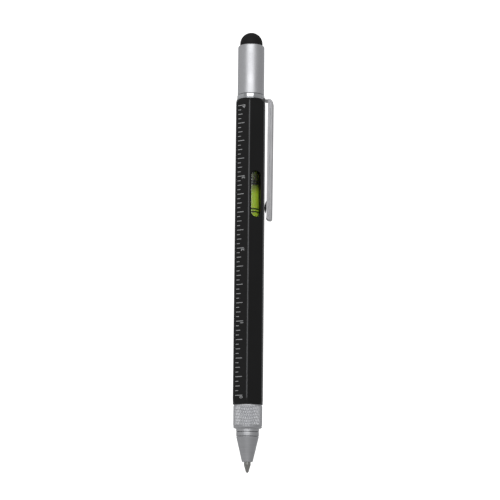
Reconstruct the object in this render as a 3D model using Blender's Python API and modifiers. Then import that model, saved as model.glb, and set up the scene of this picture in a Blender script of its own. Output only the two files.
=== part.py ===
"""Multi-tool pen: a hexagonal twist-action ballpoint with a ruler, a level vial, a touch stylus and a bit.

Every piece is drawn upright: its own +Z runs from the writing tip towards the stylus, and heights are
measured from the tip. The empty pen_axis then lays the whole pen on the flat opposite the vial window, so
that in the world the tip points along +X, the window faces +Z and the clip leans towards +Y. The world's
origin is on the flat that the pen lies on, below the axis and halfway along the pen.
"""

import math

import bmesh
import bpy
from mathutils import Matrix, Vector

MM = 0.001

# Clearances: between faces that meet end to end, round fixed pieces, and round pieces that turn or slide
SEAM = 0.15 * MM
SLIP = 0.10 * MM
RUNNING = 0.15 * MM
OVERRUN = 1.0 * MM
WELD = 0.0001 * MM

# Barrel: hexagonal tube, turned down at both ends
BARREL_LENGTH = 106.9 * MM
BARREL_FLATS = 10.0 * MM
BARREL_CORNER_ROUND = 0.5 * MM
BARREL_WALL = 1.2 * MM
NIB_TURNING_LENGTH = 2.2 * MM
NIB_TURNING_DEPTH = 0.45 * MM
CAP_TURNING_LENGTH = 1.3 * MM
CAP_TURNING_DEPTH = 0.65 * MM

# Window over the vial, and the vial behind it
WINDOW_LENGTH = 16.3 * MM
WINDOW_WIDTH = 3.7 * MM
WINDOW_BELOW_TOP = 25.9 * MM
VIAL_OVERHANG = 3.35 * MM
VIAL_SIDE_ROOM = 1.0 * MM
VIAL_WALL = 0.5 * MM
VIAL_FLOOR = 1.0 * MM
VIAL_PLUG_DEPTH = 2.2 * MM
VIAL_PLUG_HEAD = 0.8 * MM
VIAL_MARK_WIDTH = 1.2 * MM
VIAL_MARK_DEPTH = 0.12 * MM
VIAL_MARK_SPACING = 9.9 * MM
VIAL_MARKS_ABOVE_WINDOW_END = 2.45 * MM
BUBBLE_LENGTH = 5.6 * MM
MENISCUS_DEPTH = 0.45 * MM
HOLDER_END_WALL = 3.0 * MM
HOLDER_TROUGH_SIDE = 0.9 * MM

# Plug in the barrel's cap end, with the socket and the cap's thread
SOCKET_BODY_LENGTH = 13.7 * MM
SOCKET_FLOOR = 0.7 * MM
NECK_HEIGHT = 6.8 * MM
NECK_WALL = 0.5 * MM
NECK_CHAMFER = 0.4 * MM
MAGNET_RADIUS = 1.8 * MM
MAGNET_THICKNESS = 1.6 * MM

# Double-ended bit
BIT_FLATS = 4.0 * MM
BIT_FLATS_PLAY = 0.15 * MM
BIT_BLADE_LENGTH = 6.0 * MM
BIT_BLADE_RADIUS = 1.5 * MM
BIT_BLADE_TIP = 0.6 * MM
BIT_CROSS_LENGTH = 6.0 * MM
BIT_CROSS_RADIUS = 1.45 * MM
BIT_CROSS_TAPER = 2.3 * MM
BIT_CROSS_TIP_RADIUS = 0.55 * MM
BIT_FLUTE_LENGTH = 3.0 * MM
BIT_FLUTE_CORE = 0.3 * MM
BIT_HEADROOM = 1.1 * MM

# Collar ring, seal, cap and stylus
COLLAR_LENGTH = 1.6 * MM
COLLAR_FLANGE_HEIGHT = 0.4 * MM
COLLAR_FLANGE_INSET = 0.05 * MM
COLLAR_GROOVE_WIDTH = 0.14 * MM
COLLAR_GROOVE_DEPTH = 0.12 * MM
COLLAR_RING_STEP = 0.15 * MM
SEAL_THICKNESS = 0.15 * MM
SEAL_INSET = 0.1 * MM
CAP_LENGTH = 17.7 * MM
CAP_WALL = 0.85 * MM
CAP_LIP = 0.58 * MM
CAP_EDGE = 0.45 * MM
CAP_WEB = 0.8 * MM
SKIRT_DEPTH = 3.4 * MM
DOME_STRAIGHT = 1.15 * MM
DOME_WALL = 0.9 * MM
STEM_RADIUS = 1.4 * MM
STEM_TAIL = 0.8 * MM
STEM_HEAD_ROOM = 0.6 * MM
CAP_INSERT_LENGTH = 5.6 * MM
CAP_INSERT_WALL = 0.65 * MM
CAP_INSERT_INSET = 0.4 * MM

# Clip: pressed channel with a narrow arm that the collar clamps on the barrel's end
CLIP_LENGTH = 42.9 * MM
CLIP_WIDTH = 4.4 * MM
CLIP_DEPTH = 1.85 * MM
CLIP_SHEET = 0.5 * MM
CLIP_STAND_OFF = 1.35 * MM
CLIP_LEAN = 0.4 * MM
CLIP_SHOULDER_RISE = 0.35 * MM
CLIP_SHOULDER_REACH = 1.45 * MM
CLIP_SHOULDER_DROP = 2.3 * MM
CLIP_FILLET = 0.5 * MM
CLIP_EDGE_ROUND = 0.6 * MM
CLIP_END_ROUND = 0.65 * MM
CLIP_END_TAPER = 1.8 * MM
CLIP_END_FLARE = 0.15 * MM
CLIP_ARM_THICKNESS = 0.6 * MM
CLIP_ARM_WIDTH = 3.0 * MM
CLIP_TAB = 0.55 * MM
DIMPLE_LENGTH = 6.9 * MM
DIMPLE_WIDTH = 2.8 * MM
DIMPLE_ABOVE_END = 4.3 * MM

# Grip, cone and the ring between them
GRIP_RADIUS = 4.95 * MM
GRIP_KNURL_LENGTH = 6.93 * MM
GRIP_LAND = 0.25 * MM
GRIP_NOSE_LENGTH = 1.62 * MM
GRIP_NECK_LENGTH = 0.8 * MM
GRIP_NECK_RADIUS = 3.92 * MM
KNURL_DEPTH = 0.16 * MM
KNURL_DIAMOND_WIDTH = 0.678 * MM
KNURL_DIAMOND_HEIGHT = 2.03 * MM
CONE_RING_LENGTH = 1.4 * MM
CONE_BASE_RADIUS = 3.87 * MM
CONE_LENGTH = 8.6 * MM
CONE_PLAY = 0.25 * MM
CONE_MOUTH_WALL = 0.475 * MM
CONE_MOUTH_ROUND = 0.25 * MM
CONE_SPIGOT_LENGTH = 6.0 * MM
GRIP_INSERT_WALL = 0.6 * MM
GRIP_INSERT_INSET = 0.4 * MM

# Twist mechanism
TWIST_TRAVEL = 5.2 * MM
TWIST_TURN = math.pi
DRIVE_WALL = 0.55 * MM
DRIVE_IN_INSERT = 2.6 * MM
DRIVE_BEYOND_LUG = 4.35 * MM
THRUST_WASHER_THICKNESS = 0.4 * MM
THRUST_WASHER_WIDTH = 0.8 * MM
BUSH_LENGTH = 10.0 * MM
FRICTION_RING_SECTION_RADIUS = 0.25 * MM
RETAINING_RING_THICKNESS = 0.8 * MM
RETAINING_RING_WIDTH = 0.9 * MM
RETAINING_GROOVE_DEPTH = 0.2 * MM
RETAINING_RING_MOUTH = 2.4 * MM
CAM_SLEEVE_LENGTH = 20.0 * MM
HOLDER_ABOVE_DRIVE = 0.4 * MM
CARRIER_WALL = 0.45 * MM
CARRIER_GRIP = 4.3 * MM
CARRIER_ABOVE_LUG = 3.0 * MM
CARRIER_BELOW_LUG = 4.1 * MM
LUG_RADIUS = 0.75 * MM
LUG_PLAY = 0.15 * MM

# Refill
REFILL_RADIUS = 1.175 * MM
REFILL_WALL = 0.3 * MM
INK_SHARE = 0.78
POINT_OUT = 3.68 * MM
POINT_LENGTH = 9.0 * MM
POINT_SHANK_LENGTH = 3.6 * MM
POINT_TAPER_LENGTH = 2.45 * MM
POINT_RIM_WALL = 0.07 * MM
POINT_CHANNEL_RADIUS = 0.15 * MM
BALL_RADIUS = 0.35 * MM
BALL_PLAY = 0.04 * MM

# Sides of round pieces that show, that are hidden, and that are tiny
FINE_SIDES = 48
PLAIN_SIDES = 32
SMALL_SIDES = 20
BARREL_TURNING_SIDES = 72

# Radii that follow from one piece to the next, from the axis outwards
BARREL_BORE_RADIUS = BARREL_FLATS / 2 - BARREL_WALL
BARREL_CORNER_RADIUS = (BARREL_FLATS / 2 - BARREL_CORNER_ROUND) / math.cos(math.pi / 6) + BARREL_CORNER_ROUND
BARREL_TOP_RADIUS = BARREL_CORNER_RADIUS - CAP_TURNING_DEPTH
FITTED_RADIUS = BARREL_BORE_RADIUS - SLIP
BIT_CORNER_RADIUS = BIT_FLATS / 2 / math.cos(math.pi / 6)
SOCKET_CORNER_RADIUS = (BIT_FLATS / 2 + BIT_FLATS_PLAY) / math.cos(math.pi / 6)
NECK_RADIUS = SOCKET_CORNER_RADIUS + NECK_WALL
CAP_INSERT_BORE_RADIUS = NECK_RADIUS + SLIP
CAP_BORE_RADIUS = CAP_INSERT_BORE_RADIUS + CAP_INSERT_WALL + SLIP
CAP_RADIUS = CAP_BORE_RADIUS + CAP_WALL
DOME_RADIUS = CAP_RADIUS - CAP_LIP - SLIP
CARRIER_RADIUS = REFILL_RADIUS + SLIP + CARRIER_WALL
DRIVE_BORE_RADIUS = CARRIER_RADIUS + RUNNING
DRIVE_RADIUS = DRIVE_BORE_RADIUS + DRIVE_WALL
BUSH_BORE_RADIUS = DRIVE_RADIUS + RUNNING
GRIP_INSERT_BORE_RADIUS = DRIVE_RADIUS + SLIP
GRIP_INSERT_RADIUS = GRIP_INSERT_BORE_RADIUS + GRIP_INSERT_WALL
GRIP_BORE_RADIUS = GRIP_INSERT_RADIUS + SLIP
CONE_BORE_RADIUS = REFILL_RADIUS + CONE_PLAY
CONE_MOUTH_RADIUS = CONE_BORE_RADIUS + CONE_MOUTH_WALL
CONE_SPIGOT_RADIUS = GRIP_INSERT_BORE_RADIUS - SLIP
VIAL_RADIUS = BARREL_BORE_RADIUS - VIAL_SIDE_ROOM
VIAL_BORE_RADIUS = VIAL_RADIUS - VIAL_WALL
VIAL_OFFSET = BARREL_BORE_RADIUS - VIAL_RADIUS - RUNNING

# Heights above the writing tip, from the tip upwards
GRIP_LENGTH = GRIP_NOSE_LENGTH + 2 * GRIP_LAND + GRIP_KNURL_LENGTH
CONE_BASE = POINT_OUT
CONE_RING_BASE = CONE_BASE + CONE_LENGTH + SEAM
GRIP_BASE = CONE_RING_BASE + CONE_RING_LENGTH + SEAM
GRIP_TOP = GRIP_BASE + GRIP_LENGTH
BARREL_BASE = GRIP_TOP + SEAM
BARREL_TOP = BARREL_BASE + BARREL_LENGTH
COLLAR_BASE = BARREL_TOP + SEAM
SEAL_BASE = COLLAR_BASE + COLLAR_LENGTH + SEAM
CAP_BASE = SEAL_BASE + SEAL_THICKNESS + SEAM
CAP_TOP = CAP_BASE + CAP_LENGTH
OVERALL_LENGTH = CAP_TOP + DOME_STRAIGHT + DOME_RADIUS

# Heights inside, from the cap end downwards
SKIRT_BASE = CAP_TOP - SKIRT_DEPTH
CAP_WEB_TOP = SKIRT_BASE - SEAM
CAP_WEB_BASE = CAP_WEB_TOP - CAP_WEB
STEM_BASE = CAP_WEB_BASE - STEM_TAIL
SOCKET_BASE = BARREL_TOP - SOCKET_BODY_LENGTH
NECK_TOP = BARREL_TOP + NECK_HEIGHT
MAGNET_BASE = SOCKET_BASE + SOCKET_FLOOR + SEAM
BIT_BASE = MAGNET_BASE + MAGNET_THICKNESS + SEAM
BIT_LENGTH = STEM_BASE - BIT_HEADROOM - BIT_BASE
WINDOW_TOP = BARREL_TOP - WINDOW_BELOW_TOP
WINDOW_BASE = WINDOW_TOP - WINDOW_LENGTH
VIAL_BASE = WINDOW_BASE - VIAL_OVERHANG
VIAL_LENGTH = WINDOW_LENGTH + 2 * VIAL_OVERHANG
HOLDER_BASE = VIAL_BASE - SEAM - HOLDER_END_WALL
HOLDER_TOP = SOCKET_BASE - SEAM
DRIVE_TOP = HOLDER_BASE - HOLDER_ABOVE_DRIVE
LUG_HEIGHT = DRIVE_TOP - DRIVE_BEYOND_LUG - TWIST_TRAVEL
REFILL_LENGTH = LUG_HEIGHT - CARRIER_BELOW_LUG - SEAM
CAM_SLEEVE_BASE = DRIVE_TOP - CAM_SLEEVE_LENGTH
DRIVE_BASE = GRIP_TOP - DRIVE_IN_INSERT
THRUST_WASHER_BASE = BARREL_BASE
BUSH_BASE = THRUST_WASHER_BASE + THRUST_WASHER_THICKNESS + SEAM
RETAINING_RING_BASE = BUSH_BASE + BUSH_LENGTH + SEAM

# Directions round the axis, from the window's face
CLIP_TURN = math.pi / 3
LUG_TURN = 0.0

# Clip: places along and across it, from the point where its arm leaves the barrel
CLIP_HINGE_RADIUS = BARREL_FLATS / 2 - BARREL_WALL / 2
CLIP_HINGE_HEIGHT = COLLAR_BASE + CLIP_ARM_THICKNESS / 2
CLIP_TAB_RADIUS = BARREL_BORE_RADIUS - CLIP_TAB
CLIP_OUTER_RADIUS = BARREL_FLATS / 2 + CLIP_STAND_OFF + CLIP_DEPTH
CLIP_END_HEIGHT = BARREL_TOP - CLIP_LENGTH

FINISHES = {
    "black rubber": ((0.018, 0.018, 0.019), 0.75, 0.0),
    "black plastic": ((0.02, 0.02, 0.022), 0.5, 0.0),
    "white plastic": ((0.72, 0.72, 0.70), 0.4, 0.0),
    "black anodised aluminium": ((0.012, 0.012, 0.013), 0.38, 0.6),
    "satin aluminium": ((0.62, 0.63, 0.64), 0.32, 1.0),
    "chromed brass": ((0.66, 0.67, 0.68), 0.12, 1.0),
    "plated steel": ((0.58, 0.58, 0.59), 0.22, 1.0),
    "tool steel": ((0.36, 0.36, 0.37), 0.35, 1.0),
    "brass": ((0.70, 0.52, 0.24), 0.3, 1.0),
    "nickel silver": ((0.60, 0.58, 0.52), 0.25, 1.0),
    "tungsten carbide": ((0.30, 0.30, 0.31), 0.2, 1.0),
    "magnet": ((0.45, 0.45, 0.46), 0.3, 1.0),
    "clear acrylic": ((0.92, 0.94, 0.93), 0.05, 0.0),
    "lime liquid": ((0.42, 0.62, 0.05), 0.1, 0.0),
    "black ink": ((0.01, 0.01, 0.015), 0.4, 0.0),
}

SMOOTH_ANGLE = math.radians(28)
FLAT_ANGLE = math.radians(1)


def clear_scene():
    for obj in list(bpy.data.objects):
        bpy.data.objects.remove(obj, do_unlink=True)
    for collection in list(bpy.data.collections):
        bpy.data.collections.remove(collection)


def new_collection(name, hidden=False):
    collection = bpy.data.collections.new(name)
    collection.hide_render = hidden
    bpy.context.scene.collection.children.link(collection)
    return collection


clear_scene()
PEN = new_collection("multi_tool_pen")
CUTTERS = new_collection("cutters", hidden=True)

# The axis that every piece hangs on: upright pieces laid down, tip towards +X
AXIS = bpy.data.objects.new("pen_axis", None)
AXIS.location = (OVERALL_LENGTH / 2, 0, BARREL_FLATS / 2)
AXIS.rotation_euler = (0, -math.pi / 2, 0)
PEN.objects.link(AXIS)


def dress(obj, finish):
    """Gives the piece its own material."""
    colour, roughness, metallic = FINISHES[finish]
    material = bpy.data.materials.new(f"{obj.name} {finish}")
    material.use_nodes = True
    shader = material.node_tree.nodes["Principled BSDF"]
    shader.inputs["Base Color"].default_value = (*colour, 1)
    shader.inputs["Roughness"].default_value = roughness
    shader.inputs["Metallic"].default_value = metallic
    material.diffuse_color = (*colour, 1)
    obj.data.materials.clear()
    obj.data.materials.append(material)


def new_object(name, data, collection):
    obj = bpy.data.objects.new(name, data)
    collection.objects.link(obj)
    if collection is CUTTERS:
        obj.hide_render = True
        obj.display_type = "WIRE"
    return obj


def place(obj, height=0.0, radius=0.0, turn=0.0):
    """Hangs the object on the pen's axis, at a height above the tip and a radius in a direction round it."""
    obj.parent = AXIS
    obj.location = (radius * math.cos(turn), radius * math.sin(turn), height)
    obj.rotation_euler = (0, 0, turn)
    return obj


def turned(name, outline, sides, collection=None):
    """A turned shape. The outline holds (radius, height) points down the outer side, top to bottom.

    An outline that starts and ends on the axis is a solid, and any other one closes on itself as a ring.
    """
    solid = outline[0][0] == 0 and outline[-1][0] == 0
    mesh = bpy.data.meshes.new(name)
    count = len(outline)
    edges = [(i, i + 1) for i in range(count - 1)]
    if not solid:
        edges.append((count - 1, 0))
    mesh.from_pydata([(radius, 0, height) for radius, height in outline], edges, [])
    obj = new_object(name, mesh, collection or PEN)
    screw = obj.modifiers.new("turning", "SCREW")
    screw.steps = sides
    screw.render_steps = sides
    screw.use_merge_vertices = True
    screw.merge_threshold = WELD
    return obj


def arc(centre, radius, start, end, steps):
    """Points on an arc, as (first coordinate, second coordinate)."""
    return [
        (centre[0] + radius * math.cos(angle), centre[1] + radius * math.sin(angle))
        for angle in (start + (end - start) * step / steps for step in range(steps + 1))
    ]


def prism(name, corners, length, collection=None):
    """A prism with flats across +X and a corner at +Y, standing on its base."""
    bm = bmesh.new()
    bmesh.ops.create_cone(
        bm, cap_ends=True, segments=6, radius1=corners, radius2=corners, depth=length,
        matrix=Matrix.Translation((0, 0, length / 2)),
    )
    mesh = bpy.data.meshes.new(name)
    bm.to_mesh(mesh)
    bm.free()
    return new_object(name, mesh, collection or PEN)


def box(name, low, high, collection=None):
    """A box between two corners."""
    low, high = Vector(low), Vector(high)
    stretched = Matrix.Diagonal((high - low).to_4d())
    bm = bmesh.new()
    bmesh.ops.create_cube(bm, size=1, matrix=Matrix.Translation((low + high) / 2) @ stretched)
    mesh = bpy.data.meshes.new(name)
    bm.to_mesh(mesh)
    bm.free()
    return new_object(name, mesh, collection or PEN)


def settle(obj):
    """Turns a curve, or a mesh with its modifiers, into a plain mesh with welded caps."""
    bpy.context.view_layer.update()
    graph = bpy.context.evaluated_depsgraph_get()
    mesh = bpy.data.meshes.new_from_object(obj.evaluated_get(graph), depsgraph=graph)
    bm = bmesh.new()
    bm.from_mesh(mesh)
    bmesh.ops.remove_doubles(bm, verts=bm.verts, dist=WELD)
    bmesh.ops.recalc_face_normals(bm, faces=bm.faces)
    bm.to_mesh(mesh)
    bm.free()
    if obj.type == "MESH":
        obj.modifiers.clear()
        obj.data = mesh
        return obj
    made = bpy.data.objects.new(obj.name, mesh)
    for collection in obj.users_collection:
        collection.objects.link(made)
    made.hide_render = obj.hide_render
    made.display_type = obj.display_type
    made.matrix_world = obj.matrix_world
    name = obj.name
    bpy.data.objects.remove(obj, do_unlink=True)
    made.name = name
    return made


def flat_piece(name, outline, thickness, collection=None):
    """A plate drawn as (x, z) points in an upright plane, half its thickness on each side along Y."""
    curve = bpy.data.curves.new(name, "CURVE")
    curve.dimensions = "2D"
    curve.fill_mode = "BOTH"
    curve.extrude = thickness / 2
    spline = curve.splines.new("POLY")
    spline.points.add(len(outline) - 1)
    for point, (x, z) in zip(spline.points, outline):
        point.co = (x, z, 0, 1)
    spline.use_cyclic_u = True
    obj = new_object(name, curve, collection or PEN)
    obj.rotation_euler = (math.pi / 2, 0, 0)
    obj = settle(obj)
    obj.data.transform(obj.matrix_world)
    obj.matrix_world = Matrix.Identity(4)
    return obj


def combine(obj, other, operation):
    """Cuts the other object away, joins it or keeps what both share."""
    boolean = obj.modifiers.new(other.name, "BOOLEAN")
    boolean.operation = operation
    boolean.object = other
    boolean.solver = "EXACT"


def cut(obj, *cutters):
    for cutter in cutters:
        combine(obj, cutter, "DIFFERENCE")


def complete(obj, finish):
    """Settles the piece, shades its round faces smooth and gives it its material."""
    settle(obj)
    obj.data.shade_smooth()
    obj.data.set_sharp_from_angle(angle=SMOOTH_ANGLE)
    dress(obj, finish)
    return obj


def tube(outer, inner, base, top):
    """Outline of a plain ring or tube."""
    return [(outer, top), (outer, base), (inner, base), (inner, top)]


def rod(radius, base, top):
    """Outline of a plain round rod."""
    return [(0, top), (radius, top), (radius, base), (0, base)]


def make_barrel():
    """Hexagonal tube with rounded corners, turned ends and the vial's window."""
    barrel = place(prism("barrel", BARREL_FLATS / 2 / math.cos(math.pi / 6), BARREL_LENGTH), BARREL_BASE)
    bm = bmesh.new()
    bm.from_mesh(barrel.data)
    corners = [edge for edge in bm.edges if abs(edge.verts[0].co.z - edge.verts[1].co.z) > BARREL_LENGTH / 2]
    rounding = BARREL_CORNER_ROUND * math.tan(math.pi / 6)
    bmesh.ops.bevel(bm, geom=corners, offset=rounding, segments=4, profile=0.5, affect="EDGES")
    bm.to_mesh(barrel.data)
    bm.free()

    nib_slope = NIB_TURNING_DEPTH / NIB_TURNING_LENGTH
    cap_slope = CAP_TURNING_DEPTH / CAP_TURNING_LENGTH
    clear = BARREL_CORNER_RADIUS + OVERRUN
    envelope = turned(
        "barrel_turning",
        [
            (0, BARREL_LENGTH + OVERRUN),
            (BARREL_TOP_RADIUS - cap_slope * OVERRUN, BARREL_LENGTH + OVERRUN),
            (clear, BARREL_LENGTH - CAP_TURNING_LENGTH - OVERRUN / cap_slope),
            (clear, NIB_TURNING_LENGTH + OVERRUN / nib_slope),
            (BARREL_CORNER_RADIUS - NIB_TURNING_DEPTH - nib_slope * OVERRUN, -OVERRUN),
            (0, -OVERRUN),
        ],
        BARREL_TURNING_SIDES,
        CUTTERS,
    )
    place(envelope, BARREL_BASE)
    combine(barrel, envelope, "INTERSECT")

    bore_outline = rod(BARREL_BORE_RADIUS, -OVERRUN, BARREL_LENGTH + OVERRUN)
    bore = turned("barrel_bore", bore_outline, PLAIN_SIDES, CUTTERS)
    cut(barrel, place(bore, BARREL_BASE), window_cutter())
    return complete(barrel, "black anodised aluminium")


def window_cutter():
    """Slot with round ends, from the middle of the bore out through the window's face."""
    round_radius = WINDOW_WIDTH / 2
    low = WINDOW_BASE + round_radius
    high = WINDOW_TOP - round_radius
    outline = arc((0, low), round_radius, math.pi, 2 * math.pi, 12)
    outline += arc((0, high), round_radius, 0, math.pi, 12)
    slot = flat_piece("window_slot", outline, BARREL_FLATS, CUTTERS)
    slot.data.transform(Matrix.Rotation(math.pi / 2, 4, "Z"))
    slot.data.transform(Matrix.Translation((BARREL_FLATS / 2 + OVERRUN, 0, 0)))
    return place(slot)


def clip_slot():
    """Box round the clip's arm, from the axis outwards and open to the collar's lower end."""
    half = CLIP_ARM_WIDTH / 2 + SLIP
    slot = box(
        "clip_slot",
        (0, -half, COLLAR_BASE - OVERRUN),
        (BARREL_CORNER_RADIUS + OVERRUN, half, COLLAR_BASE + CLIP_ARM_THICKNESS + SEAM),
        CUTTERS,
    )
    return place(slot, turn=CLIP_TURN)


def round_rims(plate, path, radius, segments):
    """Rounds both edges of a plate along a stretch of its outline."""
    bm = bmesh.new()
    bm.from_mesh(plate.data)
    bmesh.ops.dissolve_limit(bm, angle_limit=FLAT_ANGLE, verts=bm.verts, edges=bm.edges)
    on_path = {v for v in bm.verts if min(math.dist((v.co.x, v.co.z), point) for point in path) < WELD}
    rims = [
        edge for edge in bm.edges
        if on_path.issuperset(edge.verts) and abs(edge.verts[0].co.y - edge.verts[1].co.y) < WELD
    ]
    bmesh.ops.bevel(bm, geom=rims, offset=radius, segments=segments, profile=0.5, affect="EDGES")
    bm.to_mesh(plate.data)
    bm.free()


def oval(centre, across, along, start, end, steps):
    """Points on a stretch of an ellipse, as (first coordinate, second coordinate)."""
    return [(centre[0] + across * x, centre[1] + along * z) for x, z in arc((0, 0), 1, start, end, steps)]


def make_clip():
    """Pressed channel: a narrow arm under the collar, a strip along the barrel, a dimple and a round end."""
    tab = CLIP_TAB_RADIUS - CLIP_HINGE_RADIUS
    outer = CLIP_OUTER_RADIUS - CLIP_HINGE_RADIUS
    top = CLIP_ARM_THICKNESS / 2
    end = CLIP_END_HEIGHT - CLIP_HINGE_HEIGHT
    lean = CLIP_LEAN / CLIP_LENGTH
    end_outer = outer - CLIP_LEAN
    arm_inner = outer - CLIP_DEPTH
    rise_foot = BARREL_TOP_RADIUS + SEAM - CLIP_HINGE_RADIUS
    shoulder = (outer - CLIP_SHOULDER_REACH, top + CLIP_SHOULDER_RISE - CLIP_SHOULDER_DROP)
    outer_end = (end_outer - CLIP_END_ROUND, end + CLIP_END_ROUND)
    inner_reach = CLIP_DEPTH + CLIP_END_FLARE - CLIP_END_ROUND
    inner_end = (end_outer - CLIP_END_ROUND, end + CLIP_END_TAPER)
    outside = [(tab, top), (rise_foot, top)]
    outside += oval(shoulder, CLIP_SHOULDER_REACH, CLIP_SHOULDER_DROP, math.pi / 2, 0, 8)
    outside += arc(outer_end, CLIP_END_ROUND, 0, -math.pi / 2, 6)
    inside = oval(inner_end, inner_reach, CLIP_END_TAPER, -math.pi / 2, -math.pi, 6)[1:]
    inside += arc((arm_inner - CLIP_FILLET, -top - CLIP_FILLET), CLIP_FILLET, 0, math.pi / 2, 5)
    clip = flat_piece("clip", outside + inside + [(tab, -top)], CLIP_WIDTH)
    round_rims(clip, outside[2:], CLIP_EDGE_ROUND, 4)

    inner_half = CLIP_WIDTH / 2 - CLIP_SHEET
    leaning = Matrix.Translation((outer, 0, 0)) @ Matrix.Rotation(math.atan(lean), 4, "Y")
    groove = box(
        "clip_groove",
        (-CLIP_DEPTH - OVERRUN, -inner_half, end + CLIP_END_TAPER),
        (-CLIP_SHEET, inner_half, -top - CLIP_FILLET),
        CUTTERS,
    )
    groove.data.transform(leaning)
    cut(clip, groove)
    sides = []
    for side in (-1, 1):
        beside = sorted((side * CLIP_ARM_WIDTH / 2, side * CLIP_WIDTH))
        arm_side = box(
            f"clip_arm_side_{side}",
            (tab - OVERRUN, beside[0], -top - CLIP_FILLET),
            (arm_inner, beside[1], top + CLIP_SHOULDER_RISE + OVERRUN),
            CUTTERS,
        )
        cut(clip, arm_side)
        sides.append(arm_side)

    sheet_middle = end_outer + lean * DIMPLE_ABOVE_END - CLIP_SHEET / 2
    dimple_depth = sheet_middle - (BARREL_FLATS / 2 + SEAM - CLIP_HINGE_RADIUS)
    bm = bmesh.new()
    bmesh.ops.create_uvsphere(bm, u_segments=20, v_segments=12, radius=0.5)
    whole = bm.verts[:] + bm.edges[:] + bm.faces[:]
    bmesh.ops.bisect_plane(bm, geom=whole, plane_co=(0, 0, 0), plane_no=(1, 0, 0), clear_outer=True)
    bmesh.ops.holes_fill(bm, edges=[edge for edge in bm.edges if edge.is_boundary])
    bmesh.ops.recalc_face_normals(bm, faces=bm.faces)
    mesh = bpy.data.meshes.new("clip_dimple")
    bm.to_mesh(mesh)
    bm.free()
    mesh.transform(Matrix.Diagonal((2 * dimple_depth, DIMPLE_WIDTH, DIMPLE_LENGTH, 1)))
    mesh.transform(Matrix.Translation((sheet_middle, 0, end + DIMPLE_ABOVE_END)))
    dimple = new_object("clip_dimple", mesh, CUTTERS)
    combine(clip, dimple, "UNION")
    for piece in (clip, groove, dimple, *sides):
        place(piece, CLIP_HINGE_HEIGHT, CLIP_HINGE_RADIUS, CLIP_TURN)
    return complete(clip, "plated steel")


def make_collar():
    """Stepped ring: a flange that flares down to the barrel's end, a fine groove, a ring and the clip's slot."""
    ring = CAP_RADIUS + COLLAR_RING_STEP
    flange = BARREL_TOP_RADIUS - COLLAR_FLANGE_INSET
    groove_base = COLLAR_FLANGE_HEIGHT
    groove_top = groove_base + COLLAR_GROOVE_WIDTH
    sunken = ring - COLLAR_GROOVE_DEPTH
    outline = [(sunken, COLLAR_LENGTH), (ring, COLLAR_LENGTH - COLLAR_GROOVE_DEPTH)]
    outline += [(ring, groove_top), (sunken, groove_top), (sunken, groove_base), (ring, groove_base)]
    outline += [((ring + flange) / 2, groove_base / 2), (flange, COLLAR_GROOVE_DEPTH), (flange, 0)]
    outline += [(NECK_RADIUS + SLIP, 0), (NECK_RADIUS + SLIP, COLLAR_LENGTH)]
    collar = place(turned("collar_ring", outline, FINE_SIDES), COLLAR_BASE)
    cut(collar, clip_slot())
    return complete(collar, "chromed brass")


def make_bit_socket():
    """Plug in the barrel's end, with the cap's neck, the hexagonal socket and the magnet's pocket."""
    height = NECK_TOP - SOCKET_BASE
    outline = [
        (0, height),
        (NECK_RADIUS - NECK_CHAMFER, height),
        (NECK_RADIUS, height - NECK_CHAMFER),
        (NECK_RADIUS, SOCKET_BODY_LENGTH),
        (FITTED_RADIUS, SOCKET_BODY_LENGTH),
        (FITTED_RADIUS, 0),
        (0, 0),
    ]
    socket = place(turned("bit_socket", outline, PLAIN_SIDES), SOCKET_BASE)
    pocket_base = MAGNET_BASE - SEAM
    pocket_outline = rod(MAGNET_RADIUS + SLIP, 0, BIT_BASE + OVERRUN - pocket_base)
    pocket = turned("magnet_pocket", pocket_outline, SMALL_SIDES, CUTTERS)
    hexagon = prism("socket_hexagon", SOCKET_CORNER_RADIUS, NECK_TOP + OVERRUN - BIT_BASE + SEAM, CUTTERS)
    cut(socket, place(pocket, pocket_base), place(hexagon, BIT_BASE - SEAM))
    return complete(socket, "plated steel")


def make_bit_magnet():
    magnet = turned("bit_magnet", rod(MAGNET_RADIUS, 0, MAGNET_THICKNESS), SMALL_SIDES)
    return complete(place(magnet, MAGNET_BASE), "magnet")


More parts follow.
